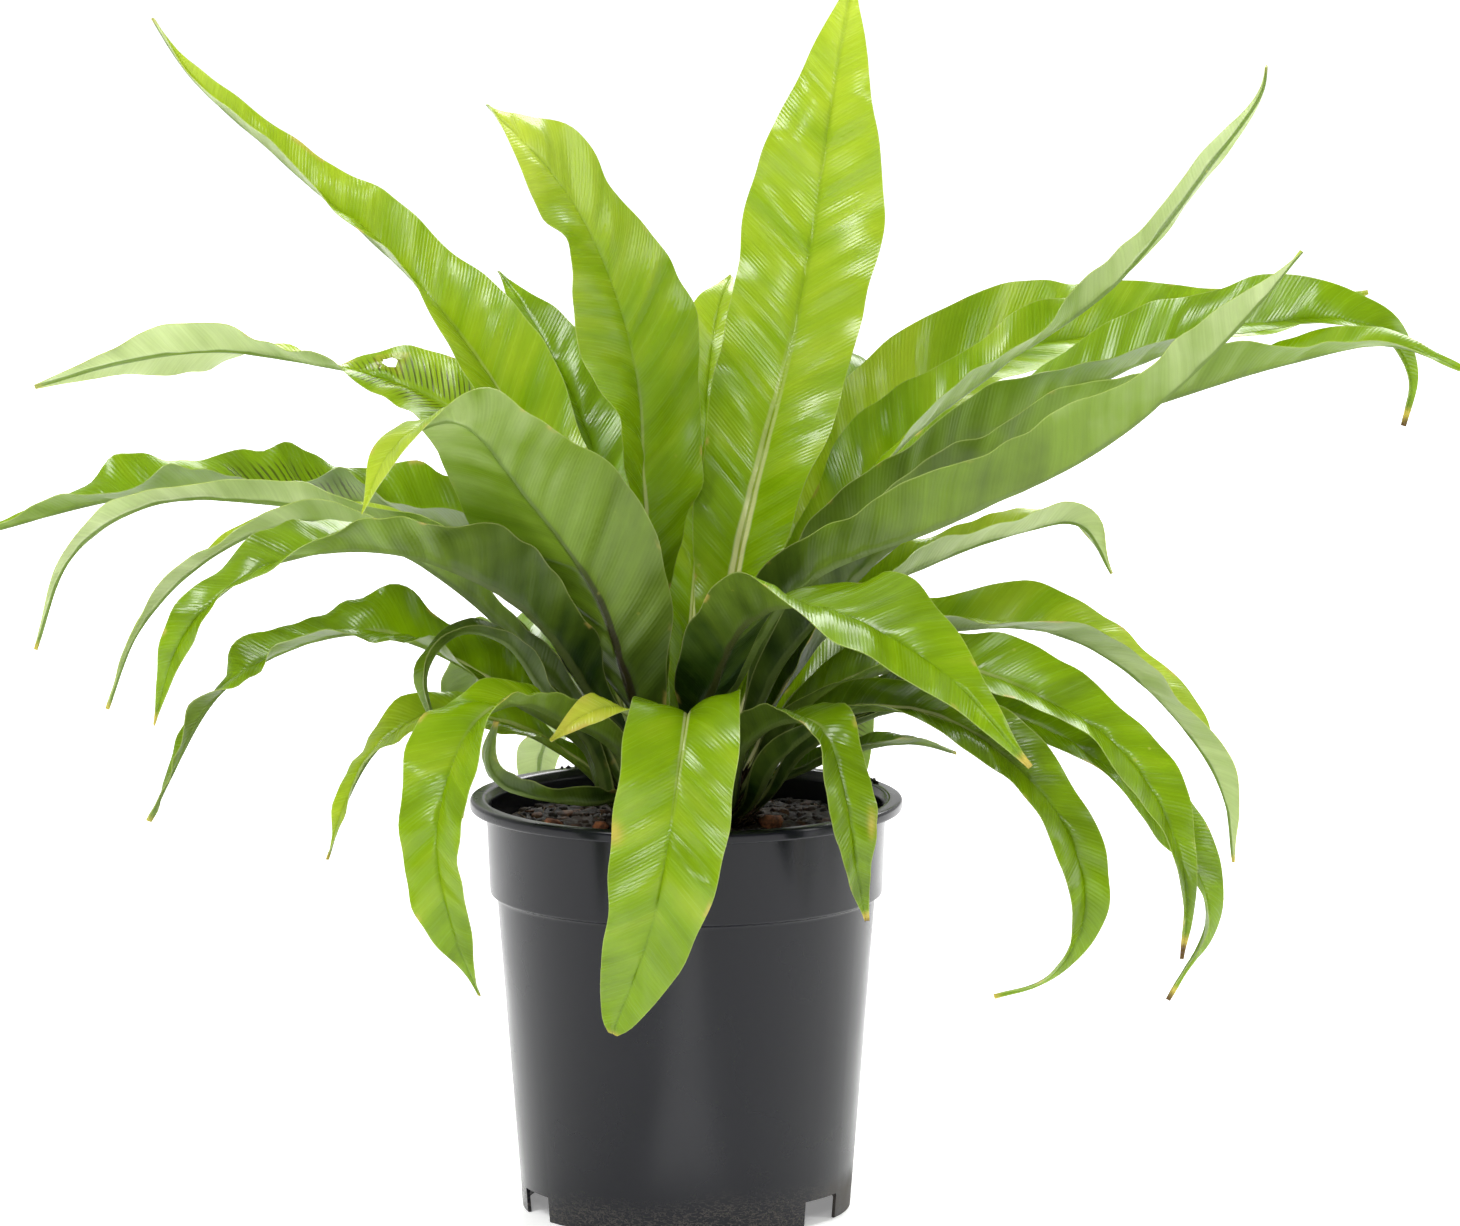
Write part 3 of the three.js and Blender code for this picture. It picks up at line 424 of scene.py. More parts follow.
def turned_left(frond, tangent, s):
    """The direction across the blade, to the left as seen from the crown, turned by the roll."""
    az = math.radians(frond.az)
    left = np.array([-math.sin(az), math.cos(az), 0])
    left = unit(left - tangent * (tangent @ left)[:, None])
    roll = np.radians(along(frond.roll, s))[:, None]
    return left * np.cos(roll) + np.cross(tangent, left) * np.sin(roll)


def ripples(frond, s, c, rng):
    """How far the ruffles lift each point of the blade. The finer ones are at the margins."""
    height, count = frond.wave
    side = np.sign(c)
    share = smoothstep(s, 0.12, 0.3) * (1 - 0.7 * smoothstep(s, 0.75, 1))
    main = np.sin(2 * np.pi * (count * s + side * EDGE_LAG))
    phases = rng.uniform(0, 2 * np.pi, 4)
    fine = np.zeros_like(main + c)
    for k, phase in enumerate(phases):
        turn = 2 * np.pi * (count * (1.7 + 0.9 * k)) * s
        fine = fine + np.sin(turn + phase + side * (1 + k)) / (1.5 + k)
    return height * share * (np.abs(c) ** 1.5 * main + 0.45 * np.abs(c) ** 3 * fine)


def puckers(lateral, c, rng):
    """Uneven folds that run out along the veins, of their own on each half of the blade."""
    folds = np.zeros_like(lateral)
    for length in PUCKER_LENGTHS:
        phase, other = rng.uniform(0, 2 * np.pi, 2)
        turn = 2 * np.pi * lateral / length
        folds = folds + np.where(c > 0, np.sin(turn + phase), np.sin(turn + other)) * (length / 38) ** 0.5
    return PUCKER * np.tanh(folds / 1.6)


def columns_across():
    """Places across the blade from -1 to 1, closer together near the midrib."""
    t = np.linspace(-1, 1, 2 * COLUMNS + 1)
    return (np.sign(t) * np.abs(t) ** COLUMN_CROWD)[None]


def half_width(frond, s, rng):
    """Half the blade's width, a little uneven, with the end rounded off where it is blunt."""
    ragged = 1 + 0.025 * np.sin(23 * s + rng.uniform(0, 6)) + 0.02 * np.sin(51 * s + rng.uniform(0, 6))
    half = np.maximum(TIP_WIDE, curve_through([STALK_WIDE, *frond.wide, frond.tip], s)) / 2 * ragged
    if frond.tip > TIP_WIDE:
        half = half * np.sqrt(1 - 0.85 * np.clip((s - 0.965) / 0.035, 0, 1) ** 2)
    return half


def opened(frond, s, c, stalk):
    """How far out and how high each point of the two cupped halves lies, as shares of the half width."""
    cup = np.radians(CUP) * (1 - stalk)
    angle = np.radians(along(frond.fold, s)) * (1 - stalk) + cup * (0.35 - np.abs(c))
    step = np.diff(np.abs(c), axis=1)
    mean = (angle[:, 1:] + angle[:, :-1]) / 2
    out, high = np.zeros_like(angle), np.zeros_like(angle)
    for grid, part in ((out, np.cos(mean)), (high, np.sin(mean))):
        grid[:, COLUMNS + 1 :] = np.cumsum((part * step)[:, COLUMNS:], axis=1)
        grid[:, :COLUMNS] = np.cumsum((part * -step)[:, :COLUMNS][:, ::-1], axis=1)[:, ::-1]
    return out, high


def thickness(s, c, x, stalk, rib_wide):
    """A round stalk that goes over into a thin blade with a midrib beneath and thinner margins."""
    thin = BLADE + (MARGIN - BLADE) * np.abs(c) ** 4
    keel = RIB * (1 - s) ** 0.7 * np.exp(-((x / rib_wide) ** 2))
    round_stalk = STALK_THICK * np.sqrt(np.maximum(0.03, 1 - 0.97 * c**2))
    return (thin + keel) * (1 - stalk) + round_stalk * stalk


def dryness(frond, s, c):
    """How dry each point is: the tip and the patches."""
    length, burn = frond.burn
    dry = burn * smoothstep(s, 1 - length, 1) * np.ones_like(c)
    for along_blade, sideways, size in frond.spots:
        dry = dry + 0.4 * np.exp(-(((s - along_blade) / size) ** 2) - ((c - sideways) / 0.25) ** 2)
    return dry


def spore_stretch(frond, s, c):
    """1 where the blade bears spore lines, on either side of the midrib, and 0 elsewhere."""
    start, end = frond.sori
    lengthwise = smoothstep(s, start, start + 0.05) * (1 - smoothstep(s, end - 0.05, end + 1e-6))
    return lengthwise * smoothstep(np.abs(c), 0.08, 0.16) * (1 - smoothstep(np.abs(c), 0.55, 0.8))


def blade_grids(frond):
    """The upper and lower faces of a frond as grids of points, and what the finish needs to know."""
    rng = np.random.default_rng(sum(map(ord, frond.name)))
    middle, tangent, far = midrib_of(frond)
    s = (far / far[-1])[:, None]
    left = turned_left(frond, tangent, s[:, 0])[:, None]
    face = np.cross(tangent[:, None], left)
    c = columns_across()
    half = half_width(frond, s, rng)
    stalk = 1 - smoothstep(s, 0.02, 0.16)
    out, high = opened(frond, s, c, stalk)
    x = half * np.abs(c)
    y = far[:, None] + 0 * c
    lateral = y - VEIN_SLOPE * x
    inside = np.sin(np.pi * np.abs(c) ** 0.8) * (1 - stalk) * np.clip(half / 20, 0.1, 1)
    pleat = inside * (puckers(lateral, c, rng) + PLEAT * np.sin(2 * np.pi * lateral / PLEAT_LENGTH))
    rib_wide = frond.rib * (0.6 + 2.2 * (1 - s) ** 2)
    groove = np.exp(-((x / (0.8 * rib_wide)) ** 2)) * 0.35 * (1 - stalk)
    lift = half * high + ripples(frond, s, c, rng) + pleat - groove
    upper = middle[:, None] + left * (np.sign(c) * half * out)[..., None] + face * lift[..., None]
    lower = upper - grid_normals(upper, face) * thickness(s, c, x, stalk, rib_wide)[..., None]
    dry = dryness(frond, s, c)
    # Tone along the blade: partly its own colour, partly painted shade in the heart and painted glow where
    # it is lit from behind
    shade = along(np.array(frond.fresh) / 100, s[:, 0])[:, None] * np.ones_like(c)
    place = np.stack([np.sign(c) * x, y, s * np.ones_like(c)], -1)
    rib = np.stack([np.full_like(x, frond.keel), half - x, np.full_like(x, rng.uniform())], -1)
    spores = spore_stretch(frond, s, c)
    marks = np.stack([rib_wide * np.ones_like(c), spores, np.zeros_like(spores)], -1)
    return upper, lower, place, shade, dry, rib, marks


def grid_normals(points, face):
    """Unit normals of a grid of points, on the side that face points to."""
    down, across = np.gradient(points, axis=0), np.gradient(points, axis=1)
    normal = np.cross(down, across)
    normal = normal * np.sign((normal * face).sum(-1, keepdims=True))
    return unit(normal + 1e-12 * face)


def ring_of(index):
    """The outline of a block of grid points, down its first column and back up its last."""
    return np.concatenate([index[:, 0], index[-1, 1:], index[-2::-1, -1], index[0, -2:0:-1]])


def shell_faces(rows, columns, hole=None):
    """Faces of a closed shell over an upper and a lower grid, with a block of cells left out as a hole."""
    index = np.arange(rows * columns).reshape(rows, columns)
    under = rows * columns
    a, b, c, d = index[:-1, :-1], index[1:, :-1], index[1:, 1:], index[:-1, 1:]
    kept = np.ones(a.shape, bool)
    rings = [ring_of(index)]
    if hole is not None:
        row, column = hole
        kept[row : row + HOLE_ROWS, column : column + HOLE_COLUMNS] = False
        rings.append(ring_of(index[row : row + HOLE_ROWS + 1, column : column + HOLE_COLUMNS + 1])[::-1])
    faces = [np.stack([a, b, c, d], -1)[kept], np.stack([d, c, b, a], -1)[kept] + under]
    for ring in rings:
        after = np.roll(ring, -1)
        faces.append(np.stack([ring, ring + under, after + under, after], -1))
    return np.vstack(faces)


def open_hole(frond, grids, dry):
    """The first cell of the frond's hole. Its corners are drawn in, and the blade round it is dry."""
    rows, columns = dry.shape
    along_blade, across = frond.hole
    row = round(along_blade * (rows - 1)) - HOLE_ROWS // 2
    crowded = math.copysign(abs(across) ** (1 / COLUMN_CROWD), across)
    column = round((crowded + 1) * COLUMNS) - HOLE_COLUMNS // 2
    last_row, last_column = row + HOLE_ROWS, column + HOLE_COLUMNS
    for grid in grids:
        middle = grid[row : last_row + 1, column : last_column + 1].mean((0, 1))
        for i in (row, last_row):
            for j in (column, last_column):
                grid[i, j] += (middle - grid[i, j]) * HOLE_ROUND
    dry[row - 1 : last_row + 2, column - 1 : last_column + 2] += 0.35
    return row, column


def link(thing):
    bpy.context.scene.collection.objects.link(thing)


def mesh_piece(name, points, faces, attributes=(), sharp=None):
    """A mesh object in metres from points in millimetres, with float-vector attributes."""
    mesh = bpy.data.meshes.new(name)
    places = (np.asarray(points).reshape(-1, 3) * MM).tolist()
    mesh.from_pydata(places, [], [list(map(int, face)) for face in faces])
    for key, values in attributes:
        layer = mesh.attributes.new(key, "FLOAT_VECTOR", "POINT")
        layer.data.foreach_set("vector", np.ascontiguousarray(values, np.float32).ravel())
    mesh.polygons.foreach_set("use_smooth", np.ones(len(mesh.polygons), bool))
    if sharp:
        mesh.set_sharp_from_angle(angle=math.radians(sharp))
    piece = bpy.data.objects.new(name, mesh)
    link(piece)
    return piece


def finish_piece(piece, slot, material, *nodes):
    """Puts a piece on the part's one body, in place of the nodes that it stands for."""
    piece.data.materials.append(material)
    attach(piece, BODY)
    if nodes:
        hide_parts(*nodes)
    return piece


def make_frond(frond, material):
    """A frond: a thin closed shell over its upper and lower faces."""
    upper, lower, place, shade, dry, rib, marks = blade_grids(frond)
    rows, columns = upper.shape[:2]
    hole = open_hole(frond, (upper, lower), dry) if frond.hole else None
    top = np.stack([np.ones_like(shade), shade, dry], -1)
    under = np.stack([np.zeros_like(shade), shade, dry], -1)
    attributes = [
        ("blade", np.stack([place, place])),
        ("leaf", np.stack([top, under])),
        ("rib", np.stack([rib, rib])),
        ("marks", np.stack([marks, marks])),
    ]
    points, faces = np.stack([upper, lower]), shell_faces(rows, columns, hole)
    piece = mesh_piece("leaf_" + frond.name, points, faces, attributes, sharp=50)
    return finish_piece(piece, "frond", material, "frond_" + frond.name)


# Blade colours from deep to fresh, above and beneath. The deep end is partly painted shade
# and the fresh end partly the painted glow of blades lit from behind
FACE_TONES = [(0.0, (0.018, 0.055, 0.001)), (0.5, (0.23, 0.385, 0.001)), (1.0, (0.6, 0.7, 0.05))]
# Beneath, the pale grey-green end is partly painted sheen: the grey that a waxy underside shows at a slant
BACK_TONES = [(0.0, (0.013, 0.04, 0.003)), (0.5, (0.2, 0.3, 0.03)), (1.0, (0.64, 0.71, 0.42))]

# Other colours of a frond, and the share of light that passes through it
RIB_PALE = (0.82, 0.8, 0.4)
RIB_GREEN = (0.34, 0.38, 0.06)
KEEL_GREEN = (0.15, 0.22, 0.045)
KEEL_DARK = (0.022, 0.012, 0.006)
MARGIN_PALE = (0.55, 0.6, 0.2)
SPECK = (0.62, 0.58, 0.12)
WORN = (0.62, 0.46, 0.12)
SPORES = (0.035, 0.02, 0.006)
DRY_YELLOW = (0.6, 0.47, 0.08)
DRY_BROWN = (0.13, 0.045, 0.015)
THROUGH_GREEN = (0.6, 0.8, 0.0)
THROUGH_SHARE = 0.36

# Colours of the pot
POT_BLACKS = [(0.0035, 0.0038, 0.0065), (0.0065, 0.007, 0.01)]
DRIP_BLACK = (0.003, 0.003, 0.004)
POT_DUST = (0.12, 0.105, 0.085)


class Shader:
    """A material's node tree, built by small calls. A value may be a number, a colour or a socket."""

    def __init__(self, name):
        self.material = bpy.data.materials.new(name)
        self.material.use_nodes = True
        self.tree = self.material.node_tree
        self.tree.nodes.clear()

    def node(self, kind, inputs=None, **settings):
        made = self.tree.nodes.new(kind)
        for key, value in settings.items():
            setattr(made, key, value)
        for key, value in (inputs or {}).items():
            self.put(made.inputs[key], value)
        return made

    def put(self, socket, value):
        if isinstance(value, bpy.types.NodeSocket):
            self.tree.links.new(value, socket)
        elif socket.type == "RGBA" and len(value) == 3:
            socket.default_value = (*value, 1)
        else:
            socket.default_value = value

    def math(self, operation, *values, clamp=False):
        made = self.node("ShaderNodeMath", operation=operation, use_clamp=clamp)
        for socket, value in zip(made.inputs, values):
            self.put(socket, value)
        return made.outputs[0]

    def plus(self, first, second, clamp=False):
        return self.math("ADD", first, second, clamp=clamp)

    def minus(self, first, second):
        return self.math("SUBTRACT", first, second)

    def times(self, first, second):
        return self.math("MULTIPLY", first, second)

    def scaled(self, value, share, more):
        return self.math("MULTIPLY_ADD", value, share, more)

    def size_of(self, value):
        return self.math("ABSOLUTE", value)

    def split(self, vector):
        made = self.node("ShaderNodeSeparateXYZ", {0: vector})
        return made.outputs[0], made.outputs[1], made.outputs[2]

    def join(self, x, y, z):
        return self.node("ShaderNodeCombineXYZ", {0: x, 1: y, 2: z}).outputs[0]

    def attribute(self, name):
        return self.split(self.node("ShaderNodeAttribute", attribute_name=name).outputs["Vector"])

    def place(self):
        return self.node("ShaderNodeTexCoord").outputs["Object"]

    def noise(self, vector, scale, detail=3.0, rough=0.5):
        inputs = {"Vector": vector, "Scale": scale, "Detail": detail, "Roughness": rough}
        return self.node("ShaderNodeTexNoise", inputs).outputs["Fac"]

    def specks(self, vector, scale):
        return self.node("ShaderNodeTexVoronoi", {"Vector": vector, "Scale": scale}).outputs["Distance"]

    def ease(self, value, low, high, start=0.0, end=1.0):
        inputs = {"Value": value, "From Min": low, "From Max": high, "To Min": start, "To Max": end}
        made = self.node("ShaderNodeMapRange", inputs, interpolation_type="SMOOTHSTEP", clamp=True)
        return made.outputs[0]

    def mix(self, share, first, second, blend="MIX"):
        made = self.node("ShaderNodeMix", data_type="RGBA", blend_type=blend)
        self.put(made.inputs[0], share)
        self.put(made.inputs[6], first)
        self.put(made.inputs[7], second)
        return made.outputs[2]

    def ramp(self, value, *stops):
        made = self.node("ShaderNodeValToRGB", {0: value})
        ends = made.color_ramp.elements
        while len(ends) < len(stops):
            ends.new(0.5)
        for end, (at, colour) in zip(ends, stops):
            end.position = at
            end.color = (*colour, 1)
        return made.outputs[0]

    def bump(self, height, distance, strength=1.0):
        inputs = {"Height": height, "Distance": distance, "Strength": strength}
        return self.node("ShaderNodeBump", inputs).outputs[0]

    def principled(self, colour, roughness, normal=None, **sockets):
        inputs = {"Base Color": colour, "Roughness": roughness}
        inputs.update({key.replace("_", " "): value for key, value in sockets.items()})
        if normal is not None:
            inputs["Normal"] = normal
        return self.node("ShaderNodeBsdfPrincipled", inputs).outputs[0]

    def done(self, surface):
        self.node("ShaderNodeOutputMaterial", {"Surface": surface})
        return self.material


def with_midrib(b, colour, across, s, upper, under, keel):
    """A midrib that is broad and pale low down above, with painted shade along its groove, and dark where
    it is keeled beneath.
    """
    rib = b.ease(across, 1.1, 0.7)
    line = b.ease(across, 0.3, 0.1)
    # Painted shade: the band over the midrib's groove is darkened a little, as the groove would be shaded
    colour = b.mix(b.times(rib, 0.22), colour, b.mix(1.0, colour, (0.5, 0.6, 0.5), "MULTIPLY"))
    pale = b.times(b.times(rib, upper), b.ease(s, 0.62, 0.2, 0.0, 1.0))
    colour = b.mix(pale, colour, b.mix(line, RIB_PALE, RIB_GREEN))
    below = b.mix(b.times(keel, b.ease(s, 0.62, 0.3)), KEEL_GREEN, KEEL_DARK)
    return b.mix(b.times(b.ease(across, 0.8, 0.45), under), colour, below)


def with_wear(b, colour, edge, mottle):
    """Pale margins with worn places, and small yellow specks."""
    colour = b.mix(b.times(b.ease(edge, 0.5, 0.15), 0.35), colour, MARGIN_PALE)
    specks = b.times(b.ease(b.specks(b.place(), 95.0), 0.09, 0.04), b.ease(mottle, 0.55, 0.65))
    colour = b.mix(b.times(specks, 0.4), colour, SPECK)
    worn = b.times(b.ease(edge, 2.2, 0.3), b.ease(b.noise(b.place(), 75.0, 2.0), 0.64, 0.72))
    return b.mix(b.times(worn, 0.7), colour, WORN)


def with_spores(b, colour, spores, lateral, streaks, under):
    """Brown lines that run out along the veins."""
    lines = b.ease(b.math("SINE", b.times(lateral, 2 * math.pi / SORI_STEP)), 0.35, 0.7)
    brown = b.times(b.times(spores, lines), b.ease(streaks, 0.38, 0.46))
    brown = b.times(brown, b.scaled(under, 0.1, 0.88))
    return b.mix(brown, colour, SPORES)


def with_dry_parts(b, colour, dry, mottle):
    """Dry parts that turn yellow and then brown."""
    patchy = b.times(dry, b.ease(mottle, 0.3, 0.7, 0.7, 1.4))
    colour = b.mix(b.ease(patchy, 0.1, 0.6), colour, DRY_YELLOW)
    return b.mix(b.ease(patchy, 0.6, 1.0), colour, DRY_BROWN)


def light_through(b, colour, tone, normal):
    """Yellow-green light that passes through the blade, least where it is deep green."""
    glow = b.mix(1.0, colour, (1.0, 1.0, 0.2), "MULTIPLY")
    glow = b.mix(0.5, glow, THROUGH_GREEN)
    glow = b.mix(1.0, glow, b.ramp(tone, (0.0, (0.12, 0.12, 0.12)), (0.45, (1, 1, 1))), "MULTIPLY")
    return b.node("ShaderNodeBsdfTranslucent", {"Color": glow, "Normal": normal}).outputs[0]


def frond_material():
    """Green blades, streaked along the veins, with their ribs, margins, spores and dry parts."""
    b = Shader("fern_blade")
    x, y, s = b.attribute("blade")
    upper, fresh, dry = b.attribute("leaf")
    keel, edge, chance = b.attribute("rib")
    rib_wide, spores, _ = b.attribute("marks")
    under = b.minus(1.0, upper)
    ax = b.size_of(x)
    lateral = b.minus(y, b.times(ax, VEIN_SLOPE))
    own = b.times(chance, 50.0)
    streaks = b.noise(b.join(lateral, b.times(x, 0.04), own), 0.9, 2.0, 0.6)
    bands = b.noise(b.join(lateral, b.times(x, 0.1), own), 0.1, 1.0)
    mottle = b.noise(b.place(), 38.0, 3.0)
    veins = b.math("SINE", b.times(lateral, 2 * math.pi / VEIN_STEP))
    # The tone is partly painted light: darker where the heart lies in shade, brighter where blades are lit
    # from behind
    tone = b.plus(fresh, b.times(b.minus(mottle, 0.5), 0.35))
    tone = b.plus(tone, b.times(b.minus(bands, 0.5), 0.35), clamp=True)
    colour = b.mix(upper, b.ramp(tone, *BACK_TONES), b.ramp(tone, *FACE_TONES))
    streak = b.ease(streaks, 0.25, 0.75, 0.92, 1.05)
    colour = b.mix(1.0, colour, b.join(streak, streak, streak), "MULTIPLY")
    colour = with_midrib(b, colour, b.math("DIVIDE", ax, rib_wide), s, upper, under, keel)
    colour = with_wear(b, colour, edge, mottle)
    colour = with_spores(b, colour, spores, lateral, streaks, under)
    colour = with_dry_parts(b, colour, dry, mottle)
    normal = b.bump(b.plus(b.times(veins, 0.2), b.times(streaks, 0.8)), 0.0001)
    rough = b.scaled(under, 0.1, b.ease(streaks, 0.2, 0.8, 0.2, 0.3))
    solid = b.principled(colour, rough, normal, Specular_IOR_Level=0.5)
    through = light_through(b, colour, tone, normal)
    surface = b.node("ShaderNodeMixShader", {0: THROUGH_SHARE, 1: solid, 2: through}).outputs[0]
    return b.done(surface)


def pot_material():
    """Black plastic, a little cloudy, with dried drips under the lip and dust at its foot."""
    b = Shader("pot_plastic")
    x, y, z = b.split(b.place())
    fine = b.noise(b.place(), 900.0, 2.0)
    cloudy = b.noise(b.place(), 22.0, 4.0)
    scratch = b.noise(b.join(b.times(x, 0.35), b.times(y, 0.35), z), 700.0, 3.0, 0.7)
    low = b.ease(b.scaled(cloudy, -0.02, z), 0.008, -0.006)
    hairline = b.ease(b.size_of(b.minus(scratch, 0.5)), 0.035, 0.005)
    dust = b.times(low, b.math("MAXIMUM", hairline, b.ease(cloudy, 0.6, 0.75)))
    drips = None
    for at, wide, long in DRIPS:
        share = b.ease(z, LIP_LOW * MM - long * MM, LIP_LOW * MM)
        reach = b.times(share, wide * MM)
        off = b.size_of(b.minus(x, at * MM))
        drip = b.math("LESS_THAN", b.minus(off, reach), 0.0)
        drip = b.times(drip, b.math("LESS_THAN", z, LIP_LOW * MM))
        drips = drip if drips is None else b.math("MAXIMUM", drips, drip)
    drips = b.times(drips, b.math("LESS_THAN", y, 0.0))
    colour = b.mix(cloudy, *POT_BLACKS)
    colour = b.mix(drips, colour, DRIP_BLACK)
    colour = b.mix(b.times(dust, 0.5), colour, POT_DUST)
    rough = b.ease(cloudy, 0.3, 0.7, 0.2, 0.3)
    rough = b.scaled(dust, 0.4, rough)
    height = b.plus(b.times(fine, 0.3), b.times(scratch, b.ease(z, 0.03, 0.0)))
    return b.done(b.principled(colour, rough, b.bump(height, 0.00006), Specular_IOR_Level=0.3))


def soil_material():
    """Dark, damp and grainy."""
    b = Shader("soil_mix")
    grain = b.noise(b.place(), 420.0, 5.0, 0.7)
    clods = b.noise(b.place(), 70.0, 3.0)
    damp = b.mix(b.ease(clods, 0.4, 0.65), (0.008, 0.006, 0.005), (0.035, 0.022, 0.014))
    colour = b.mix(b.ease(grain, 0.5, 0.75), damp, (0.075, 0.045, 0.026))
    normal = b.bump(b.plus(grain, clods), 0.0014)
    return b.done(b.principled(colour, b.ease(grain, 0.3, 0.7, 0.6, 0.95), normal, Specular_IOR_Level=0.3))


def bark_material(name, dark, light, scale):
    """Rough bark or fibre between two colours, with a grain of a given fineness."""
    b = Shader(name)
    x, y, z = b.split(b.place())
    grain = b.noise(b.join(x, b.times(y, 0.3), z), scale, 4.0, 0.65)
    pits = b.specks(b.place(), scale * 1.4)
    colour = b.mix(b.ease(grain, 0.35, 0.7), dark, light)
    colour = b.mix(b.ease(pits, 0.25, 0.1, 0.0, 0.7), colour, dark)
    height = b.minus(grain, b.ease(pits, 0.3, 0.0, 0.0, 0.5))
    return b.done(b.principled(colour, 0.8, b.bump(height, 0.0008), Specular_IOR_Level=0.25))


def floor_material():
    """A pale floor that glows a little, more so away from the pot."""
    b = Shader("pale_floor")
    haze = b.noise(b.place(), 6.0, 2.0)
    colour = b.mix(haze, (0.86, 0.86, 0.86), (0.9, 0.9, 0.9))
    x, y, _ = b.split(b.place())
    away = b.math("SQRT", b.plus(b.times(x, x), b.times(y, y)))
    glow = b.ease(away, 0.3, 3.0, *FLOOR_GLOW)
    strip = b.times(b.ease(b.size_of(x), 0.06, 0.02), b.ease(y, -0.08, -0.14))
    glow = b.scaled(strip, STRIP_GLOW, glow)
    light = {"Emission Color": (1, 1, 1), "Emission Strength": glow}
    surface = b.node("ShaderNodeBsdfPrincipled", {"Base Color": colour, "Roughness": 0.7, **light})
    return b.done(surface.outputs[0])


def turned_faces(rings, sides):
    """Faces through rings of points, closed at both ends by two more points on the axis."""
    first, end = rings * sides, (rings - 1) * sides
    faces = []
    for i in range(sides):
        k = (i + 1) % sides
        faces.append((first, k, i))
        for a in range(0, end, sides):
            b = a + sides
            faces.append((a + i, a + k, b + k, b + i))
        faces.append((end + i, end + k, first + 1))
    return faces


def lathe(profile, sides):
    """A closed body from a profile of (radius, height), from axis to axis, turned about Z."""
    ring = full_turn(sides)
    inner = profile[1:-1]
    points = [(r * math.cos(a), r * math.sin(a), z) for r, z in inner for a in ring]
    points += [(0, 0, profile[0][1]), (0, 0, profile[-1][1])]
    return points, turned_faces(len(inner), sides)


def rounded(profile, turns):
    """A profile with some corners rounded. turns gives the radius of the rounding at each corner."""
    points = []
    for i, (corner, radius) in enumerate(zip(profile, turns)):
        corner = np.array(corner, float)
        if not radius:
            points.append(tuple(corner))
            continue
        before = unit(np.array(profile[i - 1], float) - corner) * radius + corner
        after = unit(np.array(profile[i + 1], float) - corner) * radius + corner
        for t in (0, 0.25, 0.5, 0.75, 1):
            points.append(tuple((1 - t) ** 2 * before + 2 * t * (1 - t) * corner + t * t * after))
    return points


def wall_radius(z):
    """The inside of the pot's wall at a height below the ledge."""
    return FOOT_RADIUS + (LEDGE_RADIUS - LEDGE_STEP - FOOT_RADIUS) * z / LEDGE_HEIGHT - WALL


def pot_profile():
    """The pot's section: its underside, up the outside, over the lip and down the inside."""
    lip_low = POT_HEIGHT - LIP_DROP
    corners = [
        ((0, 0), 0),
        ((PAD_RADIUS, 0), 1),
        ((PAD_RADIUS + PAD_SLOPE, FLOOR_HEIGHT - WALL), 1.5),
        ((wall_radius(FLOOR_HEIGHT), FLOOR_HEIGHT - WALL), 1),
        ((wall_radius(0), 0), 0.5),
        ((FOOT_RADIUS, 0), 0.5),
        ((LEDGE_RADIUS - LEDGE_STEP, LEDGE_HEIGHT), 1.4),
        ((LEDGE_RADIUS, LEDGE_HEIGHT + 0.9), 0.8),
        ((BAND_RADIUS, lip_low), 1.2),
        ((RIM_RADIUS, lip_low), 1.3),
        ((RIM_RADIUS, POT_HEIGHT), 1.6),
        ((RIM_INNER_RADIUS, POT_HEIGHT), 1),
        ((BAND_RADIUS - WALL, POT_HEIGHT - 2 * WALL), 1),
        ((LEDGE_RADIUS - WALL, LEDGE_HEIGHT + WALL), 0.8),
        ((LEDGE_RADIUS - LEDGE_STEP - WALL, LEDGE_HEIGHT), 0.8),
        ((wall_radius(FLOOR_HEIGHT), FLOOR_HEIGHT), 1.5),
        ((PAD_RADIUS + PAD_SLOPE, FLOOR_HEIGHT), 1.5),
        ((PAD_RADIUS, WALL), 1),
        ((0, WALL), 0),
    ]
    return rounded([corner for corner, _ in corners], [radius for _, radius in corners])


def cut(piece, cutters):
    """Takes the cutters out of a piece and applies the result."""
    for cutter in cutters:
        modifier = piece.modifiers.new("cut", "BOOLEAN")
        modifier.operation = "DIFFERENCE"
        modifier.solver = "EXACT"
        modifier.object = cutter
    shaped = piece.evaluated_get(bpy.context.evaluated_depsgraph_get())
    mesh = bpy.data.meshes.new_from_object(shaped)
    piece.modifiers.clear()
    piece.data = mesh
    for cutter in cutters:
        bpy.data.objects.remove(cutter)
    return piece


def prism(name, outline, low, high):
    """A solid with an outline of (x, y) points, between two heights."""
    count = len(outline)
    points = [(x, y, z) for z in (low, high) for x, y in outline]
    faces = [tuple(range(count))[::-1], tuple(range(count, 2 * count))]
    faces += [(i, (i + 1) % count, (i + 1) % count + count, i + count) for i in range(count)]
    return mesh_piece(name, points, faces)


